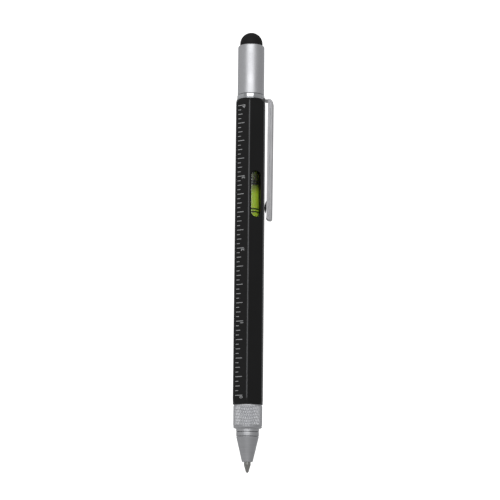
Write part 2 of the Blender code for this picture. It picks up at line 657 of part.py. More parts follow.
def make_screwdriver_bit():
    """Hexagonal shank with a flat blade below and a cross point above."""
    shank_top = BIT_LENGTH - BIT_CROSS_LENGTH
    overlap = BIT_BLADE_LENGTH / 10
    bit = prism("screwdriver_bit", BIT_CORNER_RADIUS, shank_top - BIT_BLADE_LENGTH)
    bit.data.transform(Matrix.Translation((0, 0, BIT_BLADE_LENGTH)))
    blade = turned("bit_blade", rod(BIT_BLADE_RADIUS, 0, BIT_BLADE_LENGTH + overlap), SMALL_SIDES, CUTTERS)
    point = turned(
        "bit_point",
        [
            (0, BIT_LENGTH),
            (BIT_CROSS_TIP_RADIUS, BIT_LENGTH),
            (BIT_CROSS_RADIUS, BIT_LENGTH - BIT_CROSS_TAPER),
            (BIT_CROSS_RADIUS, shank_top - overlap),
            (0, shank_top - overlap),
        ],
        SMALL_SIDES,
        CUTTERS,
    )
    combine(bit, blade, "UNION")
    combine(bit, point, "UNION")
    pieces = [bit, blade, point]
    for side in (-1, 1):
        wedge = flat_piece(
            f"bit_blade_cut_{side}",
            [
                (side * BIT_BLADE_TIP / 2, -OVERRUN),
                (side * BIT_BLADE_TIP / 2, BIT_BLADE_LENGTH / 4),
                (side * BIT_BLADE_RADIUS, BIT_BLADE_LENGTH * 3 / 4),
                (side * (BIT_BLADE_RADIUS + OVERRUN), BIT_BLADE_LENGTH * 3 / 4),
                (side * (BIT_BLADE_RADIUS + OVERRUN), -OVERRUN),
            ],
            2 * (BIT_BLADE_RADIUS + OVERRUN),
            CUTTERS,
        )
        cut(bit, wedge)
        pieces.append(wedge)
    half = BIT_CROSS_RADIUS
    corner_inwards = Matrix.Rotation(math.pi / 4, 4, "Z")
    leaning = Matrix.Rotation(-math.atan((BIT_CROSS_RADIUS - BIT_FLUTE_CORE) / BIT_FLUTE_LENGTH), 4, "Y")
    foot = Matrix.Translation((BIT_CROSS_RADIUS + half * math.sqrt(2), 0, BIT_LENGTH - BIT_FLUTE_LENGTH))
    for quarter in range(4):
        flute = box(f"bit_flute_{quarter}", (-half, -half, 0), (half, half, BIT_FLUTE_LENGTH * 2), CUTTERS)
        round_axis = Matrix.Rotation(math.pi / 4 + quarter * math.pi / 2, 4, "Z")
        flute.data.transform(round_axis @ foot @ leaning @ corner_inwards)
        cut(bit, flute)
        pieces.append(flute)
    for piece in pieces:
        place(piece, BIT_BASE)
    return complete(bit, "tool steel")


def make_cap_seal_ring():
    outline = tube(CAP_RADIUS - SEAL_INSET, NECK_RADIUS + SLIP, 0, SEAL_THICKNESS)
    return complete(place(turned("cap_seal_ring", outline, PLAIN_SIDES), SEAL_BASE), "black plastic")


def make_stylus_cap():
    """Tube with a web near its top: the stylus sits above the web, the bit below it."""
    pocket = DOME_RADIUS + SLIP
    web_top = CAP_WEB_TOP - CAP_BASE
    web_base = CAP_WEB_BASE - CAP_BASE
    hole = STEM_RADIUS + SLIP
    outline = [
        (CAP_RADIUS - CAP_EDGE, CAP_LENGTH),
        (CAP_RADIUS, CAP_LENGTH - CAP_EDGE),
        (CAP_RADIUS, CAP_EDGE / 4),
        (CAP_RADIUS - CAP_EDGE / 4, 0),
        (CAP_BORE_RADIUS, 0),
        (CAP_BORE_RADIUS, web_base),
        (hole, web_base),
        (hole, web_top),
        (pocket, web_top),
        (pocket, CAP_LENGTH),
    ]
    return complete(place(turned("stylus_cap", outline, FINE_SIDES), CAP_BASE), "satin aluminium")


def make_cap_thread_insert():
    outline = tube(CAP_BORE_RADIUS - SLIP, CAP_INSERT_BORE_RADIUS, 0, CAP_INSERT_LENGTH)
    insert = place(turned("cap_thread_insert", outline, PLAIN_SIDES), CAP_BASE + CAP_INSERT_INSET)
    return complete(insert, "brass")


def make_stylus_tip():
    """Hollow rubber dome with a straight skirt."""
    equator = SKIRT_DEPTH + DOME_STRAIGHT
    inner = DOME_RADIUS - DOME_WALL
    outline = arc((0, equator), DOME_RADIUS, math.pi / 2, 0, 8)
    outline[0] = (0, equator + DOME_RADIUS)
    outline += [(DOME_RADIUS, 0), (inner, 0)]
    outline += arc((0, equator), inner, 0, math.pi / 2, 4)
    outline[-1] = (0, equator + inner)
    return complete(place(turned("stylus_tip", outline, FINE_SIDES), SKIRT_BASE), "black rubber")


def make_stylus_insert():
    """Plug in the skirt, with a stem through the cap's web."""
    core = DOME_RADIUS - DOME_WALL - SLIP
    core_top = SKIRT_DEPTH + DOME_STRAIGHT - STEM_HEAD_ROOM
    outline = [
        (0, core_top),
        (core - STEM_HEAD_ROOM, core_top),
        (core, core_top - STEM_HEAD_ROOM),
        (core, 0),
        (STEM_RADIUS, 0),
        (STEM_RADIUS, STEM_BASE - SKIRT_BASE),
        (0, STEM_BASE - SKIRT_BASE),
    ]
    return complete(place(turned("stylus_insert", outline, PLAIN_SIDES), SKIRT_BASE), "plated steel")


def make_vial_holder():
    """Trough that carries the vial close under the window and fills the bore as far as the socket."""
    height = HOLDER_TOP - HOLDER_BASE
    holder = place(turned("vial_holder", rod(FITTED_RADIUS, 0, height), PLAIN_SIDES), HOLDER_BASE)
    room = turned("vial_room", rod(VIAL_RADIUS + SLIP, 0, VIAL_LENGTH + 2 * SEAM), PLAIN_SIDES, CUTTERS)
    opening = box(
        "trough_opening",
        (HOLDER_TROUGH_SIDE, -FITTED_RADIUS - OVERRUN, VIAL_BASE - SEAM),
        (FITTED_RADIUS + OVERRUN, FITTED_RADIUS + OVERRUN, VIAL_BASE + VIAL_LENGTH + SEAM),
        CUTTERS,
    )
    cut(holder, place(room, VIAL_BASE - SEAM, VIAL_OFFSET), place(opening))
    return complete(holder, "black plastic")


def make_vial_tube():
    """Clear tube with a closed end and two ring marks."""
    marks_base = WINDOW_BASE + VIAL_MARKS_ABOVE_WINDOW_END - VIAL_BASE
    half = VIAL_MARK_WIDTH / 2
    slope = VIAL_MARK_DEPTH
    outline = [(0, VIAL_FLOOR), (VIAL_BORE_RADIUS, VIAL_FLOOR)]
    outline += [(VIAL_BORE_RADIUS, VIAL_LENGTH), (VIAL_RADIUS, VIAL_LENGTH)]
    for middle in (marks_base + VIAL_MARK_SPACING, marks_base):
        outline += [(VIAL_RADIUS, middle + half), (VIAL_RADIUS - VIAL_MARK_DEPTH, middle + half - slope)]
        outline += [(VIAL_RADIUS - VIAL_MARK_DEPTH, middle - half + slope), (VIAL_RADIUS, middle - half)]
    outline += [(VIAL_RADIUS, VIAL_FLOOR / 3), (VIAL_RADIUS - VIAL_FLOOR / 3, 0), (0, 0)]
    vial = turned("vial_tube", outline, PLAIN_SIDES)
    return complete(place(vial, VIAL_BASE, VIAL_OFFSET), "clear acrylic")


def make_vial_plug():
    """Stopper in the vial's open end. Its head keeps inside the bore, below the rim."""
    height = VIAL_PLUG_DEPTH
    radius = VIAL_BORE_RADIUS - SLIP
    neck = radius - VIAL_PLUG_HEAD / 4
    outline = [(0, height), (radius, height), (radius, height - VIAL_PLUG_HEAD)]
    outline += [(neck, height - VIAL_PLUG_HEAD * 3 / 2), (neck, 0), (0, 0)]
    plug = turned("vial_plug", outline, SMALL_SIDES)
    return complete(place(plug, VIAL_BASE + VIAL_LENGTH - VIAL_PLUG_DEPTH, VIAL_OFFSET), "white plastic")


def make_vial_liquid():
    """Column of liquid with a hollow meniscus; the bubble is the space between it and the plug."""
    radius = VIAL_BORE_RADIUS - SLIP
    base = VIAL_FLOOR + SEAM
    top = VIAL_LENGTH - VIAL_PLUG_DEPTH - BUBBLE_LENGTH
    rise = [(radius * step / 4, top - MENISCUS_DEPTH * (1 - (step / 4) ** 2)) for step in range(5)]
    liquid = turned("vial_liquid", rise + [(radius, base), (0, base)], PLAIN_SIDES)
    return complete(place(liquid, VIAL_BASE, VIAL_OFFSET), "lime liquid")


def make_mechanism_bush():
    """Bearing in the barrel's nib end, with a groove for the friction ring."""
    bush = turned("mechanism_bush", tube(FITTED_RADIUS, BUSH_BORE_RADIUS, 0, BUSH_LENGTH), PLAIN_SIDES)
    groove_half = FRICTION_RING_SECTION_RADIUS + SLIP
    groove_radius = DRIVE_RADIUS + SLIP + 2 * FRICTION_RING_SECTION_RADIUS + SLIP
    middle = BUSH_LENGTH / 2
    inner = BUSH_BORE_RADIUS - RUNNING
    groove_outline = tube(groove_radius, inner, middle - groove_half, middle + groove_half)
    groove = turned("friction_ring_groove", groove_outline, PLAIN_SIDES, CUTTERS)
    place(groove, BUSH_BASE)
    place(bush, BUSH_BASE)
    cut(bush, groove)
    return complete(bush, "brass")


def make_friction_ring():
    """Rubber ring between the bush and the drive tube."""
    section = FRICTION_RING_SECTION_RADIUS
    outline = arc((DRIVE_RADIUS + SLIP + section, 0), section, 0, -2 * math.pi, 6)[:-1]
    ring = turned("friction_ring", outline, PLAIN_SIDES)
    return complete(place(ring, BUSH_BASE + BUSH_LENGTH / 2), "black rubber")


def make_thrust_washer():
    outline = tube(BUSH_BORE_RADIUS + THRUST_WASHER_WIDTH, BUSH_BORE_RADIUS, 0, THRUST_WASHER_THICKNESS)
    return complete(place(turned("thrust_washer", outline, PLAIN_SIDES), THRUST_WASHER_BASE), "white plastic")


def helix_cutter():
    """Round cutter along the lug's path: up the sleeve by the travel in one stretch of turning."""
    wall = FITTED_RADIUS - BUSH_BORE_RADIUS
    middle_radius = BUSH_BORE_RADIUS + wall / 2
    steps = 24
    curve = bpy.data.curves.new("cam_helix", "CURVE")
    curve.dimensions = "3D"
    curve.use_fill_caps = True
    curve.bevel_depth = math.hypot(LUG_RADIUS + 2 * LUG_PLAY, wall / 2)
    curve.bevel_resolution = 4
    spline = curve.splines.new("POLY")
    spline.points.add(steps)
    run_out = (LUG_RADIUS + 2 * LUG_PLAY) / (middle_radius * TWIST_TURN)
    for step, point in enumerate(spline.points):
        share = -run_out + (1 + 2 * run_out) * step / steps
        turn = LUG_TURN - TWIST_TURN * share
        rise = TWIST_TRAVEL * share
        point.co = (middle_radius * math.cos(turn), middle_radius * math.sin(turn), rise, 1)
    return place(settle(new_object("cam_helix", curve, CUTTERS)), LUG_HEIGHT)


def make_cam_sleeve():
    """Fixed sleeve with the helical slot that the lug climbs."""
    sleeve = turned("cam_sleeve", tube(FITTED_RADIUS, BUSH_BORE_RADIUS, 0, CAM_SLEEVE_LENGTH), PLAIN_SIDES)
    place(sleeve, CAM_SLEEVE_BASE)
    cut(sleeve, helix_cutter())
    return complete(sleeve, "white plastic")


def make_drive_tube():
    """Tube that the grip turns, with the lug's straight slot and the retaining ring's groove."""
    length = DRIVE_TOP - DRIVE_BASE
    groove_base = RETAINING_RING_BASE - SLIP - DRIVE_BASE
    groove_top = groove_base + RETAINING_RING_THICKNESS + 2 * SLIP
    groove_radius = DRIVE_RADIUS - RETAINING_GROOVE_DEPTH
    outline = [
        (DRIVE_RADIUS, length),
        (DRIVE_RADIUS, groove_top),
        (groove_radius, groove_top),
        (groove_radius, groove_base),
        (DRIVE_RADIUS, groove_base),
        (DRIVE_RADIUS, 0),
        (DRIVE_BORE_RADIUS, 0),
        (DRIVE_BORE_RADIUS, length),
    ]
    drive = place(turned("drive_tube", outline, PLAIN_SIDES), DRIVE_BASE)
    half = LUG_RADIUS + LUG_PLAY
    low = LUG_HEIGHT - half
    high = LUG_HEIGHT + TWIST_TRAVEL + half
    slot = box("drive_slot", (0, -half, low), (DRIVE_RADIUS + OVERRUN, half, high), CUTTERS)
    cut(drive, place(slot, turn=LUG_TURN))
    return complete(drive, "brass")


def make_retaining_ring():
    """Open spring ring in the drive tube's groove."""
    inner = DRIVE_RADIUS - RETAINING_GROOVE_DEPTH + SLIP
    outline = tube(inner + RETAINING_RING_WIDTH, inner, 0, RETAINING_RING_THICKNESS)
    ring = place(turned("retaining_ring", outline, PLAIN_SIDES), RETAINING_RING_BASE)
    half = RETAINING_RING_MOUTH / 2
    mouth = box(
        "retaining_ring_mouth",
        (-inner - RETAINING_RING_WIDTH - OVERRUN, -half, -OVERRUN),
        (0, half, RETAINING_RING_THICKNESS + OVERRUN),
        CUTTERS,
    )
    cut(ring, place(mouth, RETAINING_RING_BASE))
    return complete(ring, "plated steel")


def make_refill_carrier():
    """Plastic rod that grips the refill's end and carries the lug."""
    base = REFILL_LENGTH - CARRIER_GRIP
    seat = REFILL_LENGTH + SEAM - base
    top = LUG_HEIGHT + CARRIER_ABOVE_LUG - base
    bore = REFILL_RADIUS + SLIP
    outline = [(0, top), (CARRIER_RADIUS, top), (CARRIER_RADIUS, 0), (bore, 0), (bore, seat), (0, seat)]
    carrier = place(turned("refill_carrier", outline, SMALL_SIDES), base)
    hole_outline = rod(LUG_RADIUS + SLIP, -CARRIER_RADIUS - OVERRUN, CARRIER_RADIUS + OVERRUN)
    hole = turned("lug_hole", hole_outline, SMALL_SIDES, CUTTERS)
    settle(hole).data.transform(Matrix.Rotation(math.pi / 2, 4, "Y"))
    cut(carrier, place(hole, LUG_HEIGHT, turn=LUG_TURN))
    return complete(carrier, "white plastic")


def make_carrier_lug():
    """Steel pin across the carrier, through the drive tube's slot and into the cam sleeve's."""
    lug = turned("carrier_lug", rod(LUG_RADIUS, -CARRIER_RADIUS + SEAM, FITTED_RADIUS - SLIP), SMALL_SIDES)
    settle(lug).data.transform(Matrix.Rotation(math.pi / 2, 4, "Y"))
    return complete(place(lug, LUG_HEIGHT, turn=LUG_TURN), "plated steel")


def make_knurled_grip():
    """Sleeve with a diamond knurl, a plain edge at each end of it, a rounded nose and a plain neck.

    The knurl is a grid of points on the surface: every second one stands up, so each is the peak of a diamond
    with four sunken corners.
    """
    columns = 2 * round(2 * math.pi * GRIP_RADIUS / KNURL_DIAMOND_WIDTH)
    rows = 2 * round(GRIP_KNURL_LENGTH / KNURL_DIAMOND_HEIGHT)
    nose_width = GRIP_RADIUS - GRIP_NECK_RADIUS
    nose_height = GRIP_NOSE_LENGTH - GRIP_NECK_LENGTH
    nose = oval((GRIP_NECK_RADIUS, GRIP_NOSE_LENGTH), nose_width, nose_height, 0, -math.pi / 2, 3)
    knurl_base = GRIP_NOSE_LENGTH + GRIP_LAND
    sunken = GRIP_RADIUS - KNURL_DEPTH
    rings = [[(GRIP_BORE_RADIUS, GRIP_LENGTH)] * columns, [(sunken, GRIP_LENGTH)] * columns]
    rings.append([(GRIP_RADIUS - KNURL_DEPTH / 2, GRIP_LENGTH - GRIP_LAND / 2)] * columns)
    for row in range(rows, -1, -1):
        height = knurl_base + GRIP_KNURL_LENGTH * row / rows
        rings.append([(GRIP_RADIUS if (row + column) % 2 else sunken, height) for column in range(columns)])
    for point in nose + [(GRIP_NECK_RADIUS, 0), (GRIP_BORE_RADIUS, 0)]:
        rings.append([point] * columns)

    bm = bmesh.new()
    grid = []
    for ring in rings:
        turns = [2 * math.pi * column / columns for column in range(columns)]
        grid.append([bm.verts.new((r * math.cos(a), r * math.sin(a), z)) for (r, z), a in zip(ring, turns)])
    for upper in range(len(grid)):
        lower = (upper + 1) % len(grid)
        for left in range(columns):
            right = (left + 1) % columns
            quad = (grid[upper][left], grid[lower][left], grid[lower][right], grid[upper][right])
            first, second, third, fourth = quad
            valley = (first.co.xy.length + third.co.xy.length) <= (second.co.xy.length + fourth.co.xy.length)
            if valley:
                bm.faces.new((first, second, third))
                bm.faces.new((first, third, fourth))
            else:
                bm.faces.new((first, second, fourth))
                bm.faces.new((second, third, fourth))
    mesh = bpy.data.meshes.new("knurled_grip")
    bm.to_mesh(mesh)
    bm.free()
    grip = place(new_object("knurled_grip", mesh, PEN), GRIP_BASE)
    return complete(grip, "satin aluminium")


def make_grip_insert():
    """Threaded insert: the cone screws into its lower end, and the drive tube is fixed in its upper end."""
    outline = tube(GRIP_INSERT_RADIUS, GRIP_INSERT_BORE_RADIUS, 0, GRIP_LENGTH - GRIP_INSERT_INSET)
    insert = turned("grip_insert", outline, PLAIN_SIDES)
    return complete(place(insert, GRIP_BASE + GRIP_INSERT_INSET), "brass")


def make_cone_ring():
    outline = tube(CONE_BASE_RADIUS, CONE_SPIGOT_RADIUS + SLIP, 0, CONE_RING_LENGTH)
    return complete(place(turned("cone_ring", outline, FINE_SIDES), CONE_RING_BASE), "satin aluminium")


def make_nose_cone():
    """Cone with a rounded mouth below and a threaded spigot above."""
    mouth = CONE_MOUTH_RADIUS - CONE_MOUTH_ROUND
    spigot_top = CONE_LENGTH + CONE_SPIGOT_LENGTH
    outline = [
        (CONE_SPIGOT_RADIUS - NECK_CHAMFER, spigot_top),
        (CONE_SPIGOT_RADIUS, spigot_top - NECK_CHAMFER),
        (CONE_SPIGOT_RADIUS, CONE_LENGTH),
        (CONE_BASE_RADIUS, CONE_LENGTH),
    ]
    outline += arc((mouth, CONE_MOUTH_ROUND), CONE_MOUTH_ROUND, 0, -math.pi / 2, 4)
    outline += [(CONE_BORE_RADIUS, 0), (CONE_BORE_RADIUS, spigot_top)]
    return complete(place(turned("nose_cone", outline, FINE_SIDES), CONE_BASE), "satin aluminium")


def make_refill_tube():
    base = POINT_LENGTH + SEAM
    outline = tube(REFILL_RADIUS, REFILL_RADIUS - REFILL_WALL, 0, REFILL_LENGTH - base)
    return complete(place(turned("refill_tube", outline, SMALL_SIDES), base), "white plastic")


def make_refill_ink():
    base = POINT_LENGTH + POINT_SHANK_LENGTH + SEAM
    height = (REFILL_LENGTH - base) * INK_SHARE
    ink = turned("refill_ink", rod(REFILL_RADIUS - REFILL_WALL - SLIP, 0, height), SMALL_SIDES)
    return complete(place(ink, base), "black ink")


def make_refill_point():
    """Writing point with its shank in the tube, an ink channel and the ball's seat."""
    seat_radius = BALL_RADIUS + BALL_PLAY
    rim = seat_radius + POINT_RIM_WALL
    front = BALL_RADIUS * 2 / 3
    taper_top = front + POINT_TAPER_LENGTH
    shank = REFILL_RADIUS - REFILL_WALL - SLIP
    seat_top = BALL_RADIUS + seat_radius
    outline = [
        (shank, POINT_LENGTH + POINT_SHANK_LENGTH),
        (shank, POINT_LENGTH),
        (REFILL_RADIUS, POINT_LENGTH),
        (REFILL_RADIUS, taper_top),
        (rim, front),
        (seat_radius, front),
        (seat_radius, BALL_RADIUS),
        (seat_radius / 2, seat_top - seat_radius / 6),
        (POINT_CHANNEL_RADIUS, seat_top),
        (POINT_CHANNEL_RADIUS, POINT_LENGTH + POINT_SHANK_LENGTH),
    ]
    return complete(place(turned("refill_point", outline, SMALL_SIDES)), "nickel silver")


def make_refill_ball():
    mesh = bpy.data.meshes.new("refill_ball")
    bm = bmesh.new()
    bmesh.ops.create_uvsphere(bm, u_segments=16, v_segments=10, radius=BALL_RADIUS)
    bm.to_mesh(mesh)
    bm.free()
    return complete(place(new_object("refill_ball", mesh, PEN), BALL_RADIUS), "tungsten carbide")


make_barrel()
make_clip()
make_collar()
make_bit_socket()
make_bit_magnet()
make_screwdriver_bit()
make_cap_seal_ring()
make_stylus_cap()
make_cap_thread_insert()
make_stylus_tip()
make_stylus_insert()
make_vial_holder()
make_vial_tube()
make_vial_plug()
make_vial_liquid()
make_mechanism_bush()
make_friction_ring()
make_thrust_washer()
make_cam_sleeve()
make_drive_tube()
make_retaining_ring()
make_refill_carrier()
make_carrier_lug()
make_knurled_grip()
make_grip_insert()
make_cone_ring()
make_nose_cone()
make_refill_tube()
make_refill_ink()
make_refill_point()
make_refill_ball()

print(f"overall length {OVERALL_LENGTH / MM:.2f} mm")
print(f"refill {REFILL_LENGTH / MM:.2f} mm, bit {BIT_LENGTH / MM:.2f} mm")
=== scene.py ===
"""Looks of the multi-tool pen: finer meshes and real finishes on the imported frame, and the studio round it.

Every piece is drawn upright, with its own +Z running from the writing tip towards the stylus and +X towards
the vial's window. The frame's axis then lays it down beside the CAD nodes, so that all share one frame.
"""

import logging
import math
from dataclasses import dataclass
from enum import Enum
from typing import Callable, Sequence

import bmesh
import bpy
from mathutils import Matrix, Vector


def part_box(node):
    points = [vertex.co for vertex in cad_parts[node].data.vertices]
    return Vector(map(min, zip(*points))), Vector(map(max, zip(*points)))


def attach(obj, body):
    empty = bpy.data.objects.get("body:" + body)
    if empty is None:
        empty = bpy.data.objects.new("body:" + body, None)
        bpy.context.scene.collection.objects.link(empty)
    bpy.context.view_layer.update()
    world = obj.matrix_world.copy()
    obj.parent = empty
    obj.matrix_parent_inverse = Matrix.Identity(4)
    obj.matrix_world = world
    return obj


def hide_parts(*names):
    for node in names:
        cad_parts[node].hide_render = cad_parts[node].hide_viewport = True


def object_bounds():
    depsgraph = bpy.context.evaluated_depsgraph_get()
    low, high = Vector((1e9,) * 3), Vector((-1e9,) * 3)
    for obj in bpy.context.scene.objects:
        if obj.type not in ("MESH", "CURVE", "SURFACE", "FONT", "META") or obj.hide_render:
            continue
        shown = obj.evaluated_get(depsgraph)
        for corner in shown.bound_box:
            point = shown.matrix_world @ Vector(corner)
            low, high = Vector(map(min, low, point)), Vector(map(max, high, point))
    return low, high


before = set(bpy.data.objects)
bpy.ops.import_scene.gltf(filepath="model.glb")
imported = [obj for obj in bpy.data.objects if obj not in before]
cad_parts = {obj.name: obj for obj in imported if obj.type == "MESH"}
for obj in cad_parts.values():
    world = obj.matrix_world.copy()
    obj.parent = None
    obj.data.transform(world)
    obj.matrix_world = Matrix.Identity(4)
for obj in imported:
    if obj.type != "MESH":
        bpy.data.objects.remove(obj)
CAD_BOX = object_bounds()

MM = 0.001
INCH = 25.4 * MM
TINY = 1e-9
SHARP = math.radians(30)
COS_30 = math.cos(math.pi / 6)
# Room between faces that meet and round pieces that slide, and how far a tool reaches past its cut
SEAM = 0.15 * MM
SLIP = 0.10 * MM
CLEAR = 1.0 * MM
# Sides of a small or hidden round piece
SIDES = 96
LOG = logging.getLogger("multi_tool_pen")

Piece = bpy.types.Object
Tree = bpy.types.NodeTree
Node = bpy.types.Node
Socket = bpy.types.NodeSocket
Point = tuple[float, float]
Profile = list[Point]
Ring = list[tuple[float, float, float]]


# The frame that the pieces stand in


@dataclass(frozen=True)
class PenAxis:
    """The pen's own upright space, and where it lies in the world."""

    half_length: float
    height: float

    def lay(self) -> Matrix:
        """Returns the matrix that lays an upright piece down on the desk, tip towards +X."""
        place = Matrix.Translation((self.half_length, 0, self.height))
        return place @ Matrix.Rotation(-math.pi / 2, 4, "Y")

    def span(self, node: str) -> tuple[float, float]:
        """Returns the heights above the writing tip between which a CAD node reaches."""
        low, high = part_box(node)
        return self.half_length - high.x, self.half_length - low.x

    def radius(self, node: str) -> float:
        """Returns the radius of a round CAD node that stands on the axis."""
        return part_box(node)[1].y


AXIS = PenAxis(half_length=CAD_BOX[1].x, height=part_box("barrel")[1].z / 2)


# Mesh tools


def new_piece(name: str, data: bpy.types.ID) -> Piece:
    """Links a mesh, text, light or camera into the scene.

    Args:
        name: name of the piece.
        data: what it holds.

    Returns:
        The new object.
    """
    piece = bpy.data.objects.new(name, data)
    bpy.context.scene.collection.objects.link(piece)
    return piece


def from_bmesh(name: str, bm: bmesh.types.BMesh) -> Piece:
    """Turns a bmesh into a piece and frees it.

    Args:
        name: name of the piece.
        bm: the bmesh, drawn upright.

    Returns:
        The new piece.
    """
    mesh = bpy.data.meshes.new(name)
    bm.to_mesh(mesh)
    bm.free()
    return new_piece(name, mesh)


def evaluated(piece: Piece) -> bpy.types.Mesh:
    """Works out a piece's mesh with its modifiers, or the mesh of a text.

    Args:
        piece: the piece or text.

    Returns:
        The new mesh.
    """
    bpy.context.view_layer.update()
    graph = bpy.context.evaluated_depsgraph_get()
    return bpy.data.meshes.new_from_object(piece.evaluated_get(graph), depsgraph=graph)


def lofted(name: str, rings: Sequence[Ring], looped: bool = False) -> Piece:
    """Skins a row of rings and closes its ends. A ring of one point is a pole.

    Args:
        name: name of the piece.
        rings: rings of points with the same count, poles apart.
        looped: whether the last ring joins the first, as in a tube.

    Returns:
        The skinned piece.
    """
    bm = bmesh.new()
    rows = [[bm.verts.new(point) for point in ring] for ring in rings]
    following = rows[1:] + rows[:1] if looped else rows[1:]
    for upper, lower in zip(rows, following):
        count = max(len(upper), len(lower))
        for left in range(count):
            right = (left + 1) % count
            quad = [upper[left % len(upper)], lower[left % len(lower)]]
            quad += [lower[right % len(lower)], upper[right % len(upper)]]
            corners = list(dict.fromkeys(quad))
            if len(corners) > 2:
                bm.faces.new(corners)
    for row in () if looped else (rows[0], rows[-1]):
        if len(row) > 2:
            bm.faces.new(row)
    bmesh.ops.recalc_face_normals(bm, faces=bm.faces)
    return from_bmesh(name, bm)


def ring_of(height: float, sides: int, reach: Callable[[float], float]) -> Ring:
    """A ring of points round the axis.

    Args:
        height: its height above the tip.
        sides: number of points.
        reach: gives a point's distance from the axis for its share of a turn.

    Returns:
        The points.
    """
    ring = []
    for side in range(sides):
        radius, angle = reach(side / sides), 2 * math.pi * side / sides
        ring.append((radius * math.cos(angle), radius * math.sin(angle), height))
    return ring


def circle(radius: float, height: float, sides: int) -> Ring:
    """A plain ring of a turned piece, or a pole where it has no radius."""
    return [(0.0, 0.0, height)] if radius < TINY else ring_of(height, sides, lambda turn: radius)


def turned(name: str, outline: Profile, sides: int) -> Piece:
    """A turned piece: solid where its (radius, height) outline starts and ends on the axis, else a ring."""
    solid = outline[0][0] < TINY and outline[-1][0] < TINY
    return lofted(name, [circle(radius, height, sides) for radius, height in outline], not solid)


def rod(name: str, radius: float, high: float, low: float, sides: int = SIDES // 2) -> Piece:
    """A plain round rod, as a tool."""
    return turned(name, [(0, high), (radius, high), (radius, low), (0, low)], sides)


def arc(centre: Point, radius: float, start: float, end: float, steps: int) -> Profile:
    """Points on an arc in so many steps, both ends included."""
    angles = [start + (end - start) * step / steps for step in range(steps + 1)]
    return [(centre[0] + radius * math.cos(a), centre[1] + radius * math.sin(a)) for a in angles]


def oval(centre: Point, size: Point, start: float, end: float, steps: int) -> Profile:
    """Points on a stretch of an ellipse with these half sizes, both ends included."""
    return [(centre[0] + size[0] * x, centre[1] + size[1] * z) for x, z in arc((0, 0), 1, start, end, steps)]


def hexagon(corner_radius: float) -> Profile:
    """Corners of a hexagon with a flat across +X."""
    return arc((0, 0), corner_radius, math.pi / 6, math.pi * 11 / 6, 5)


def eased(corners: Sequence[tuple[float, float, float]], steps: int = 5) -> Profile:
    """Rounds the corners of an outline.

    Args:
        corners: (radius, height, rounding) of each corner; no rounding keeps it sharp.
        steps: chords in each rounding.

    Returns:
        The outline with its corners eased.
    """
    outline: Profile = []
    for index, (across, along, rounding) in enumerate(corners):
        here = Vector((across, along))
        before = Vector(corners[index - 1][:2])
        after = Vector(corners[(index + 1) % len(corners)][:2])
        if rounding < TINY:
            outline.append((across, along))
            continue
        first = here + (before - here).normalized() * min(rounding, (before - here).length / 2)
        last = here + (after - here).normalized() * min(rounding, (after - here).length / 2)
        for step in range(steps + 1):
            t = step / steps
            point = first * (1 - t) ** 2 + here * 2 * t * (1 - t) + last * t ** 2
            outline.append((point.x, point.y))
    return outline


def column(name: str, outline: Profile, heights: Sequence[float]) -> Piece:
    """A column with the same (x, y) outline at both heights."""
    return lofted(name, [[(x, y, height) for x, y in outline] for height in heights])


def plate(name: str, outline: Profile, half_width: float) -> Piece:
    """A plate with an (x, z) outline that reaches as far along Y to both sides."""
    return lofted(name, [[(x, side * half_width, z) for x, z in outline] for side in (-1, 1)])


def block(name: str, low: Sequence[float], high: Sequence[float]) -> Piece:
    """A block between its lowest and its highest corner."""
    corners = [(low[0], low[1]), (high[0], low[1]), (high[0], high[1]), (low[0], high[1])]
    return column(name, corners, (high[2], low[2]))


def combined(piece: Piece, tool: Piece, operation: str = "DIFFERENCE") -> None:
    """Cuts a tool out of a piece, joins it or keeps what both share, and removes the tool.

    Args:
        piece: the piece that changes.
        tool: the other mesh.
        operation: name of the boolean operation.
    """
    boolean = piece.modifiers.new(tool.name, "BOOLEAN")
    boolean.operation = operation
    boolean.object = tool
    boolean.solver = "EXACT"
    mesh = evaluated(piece)
    piece.modifiers.clear()
    piece.data = mesh
    bpy.data.objects.remove(tool, do_unlink=True)


def standing(right: Vector, up: Vector, out: Vector, place: Vector) -> Matrix:
    """Returns the matrix of something that stands in a place, from its own three directions."""
    return Matrix.Translation(place) @ Matrix((right, up, out)).transposed().to_4x4()


@dataclass(frozen=True)
class Thread:
    """A fine V thread."""

    pitch: float = 0.5 * MM
    depth: float = 0.16 * MM
    rows_per_turn: int = 8

    def rings(self, crest: float, high: float, low: float, sides: int, hand: int = -1) -> list[Ring]:
        """Rings of a right-handed thread, from its top down, fading out at both ends.

        Args:
            crest: radius of its crests.
            high: height of its top.
            low: height of its bottom.
            sides: number of points in each ring.
            hand: which way its grooves lie from the crests, as a sign: inwards, or outwards in a bore.

        Returns:
            The rings.
        """
        count = max(2, round((high - low) / self.pitch * self.rows_per_turn))
        rings = []
        for row in range(count + 1):
            height = high - (high - low) * row / count
            depth = hand * self.depth * min(1.0, (high - height) / self.pitch, (height - low) / self.pitch)
            phase = height / self.pitch
            rings.append(ring_of(
                height, sides, lambda turn: crest + abs(2 * ((phase - turn) % 1.0) - 1) * depth,
            ))
        return rings


THREAD = Thread()


# Finishes


def linear(colour: str) -> tuple[float, float, float, float]:
    """Turns a hex sRGB colour into linear light.

    Args:
        colour: six hex digits after a number sign.

    Returns:
        Red, green, blue and a full alpha.
    """
    parts = [int(colour[i:i + 2], 16) / 255 for i in (1, 3, 5)]
    light = [c / 12.92 if c <= 0.04045 else ((c + 0.055) / 1.055) ** 2.4 for c in parts]
    return light[0], light[1], light[2], 1.0


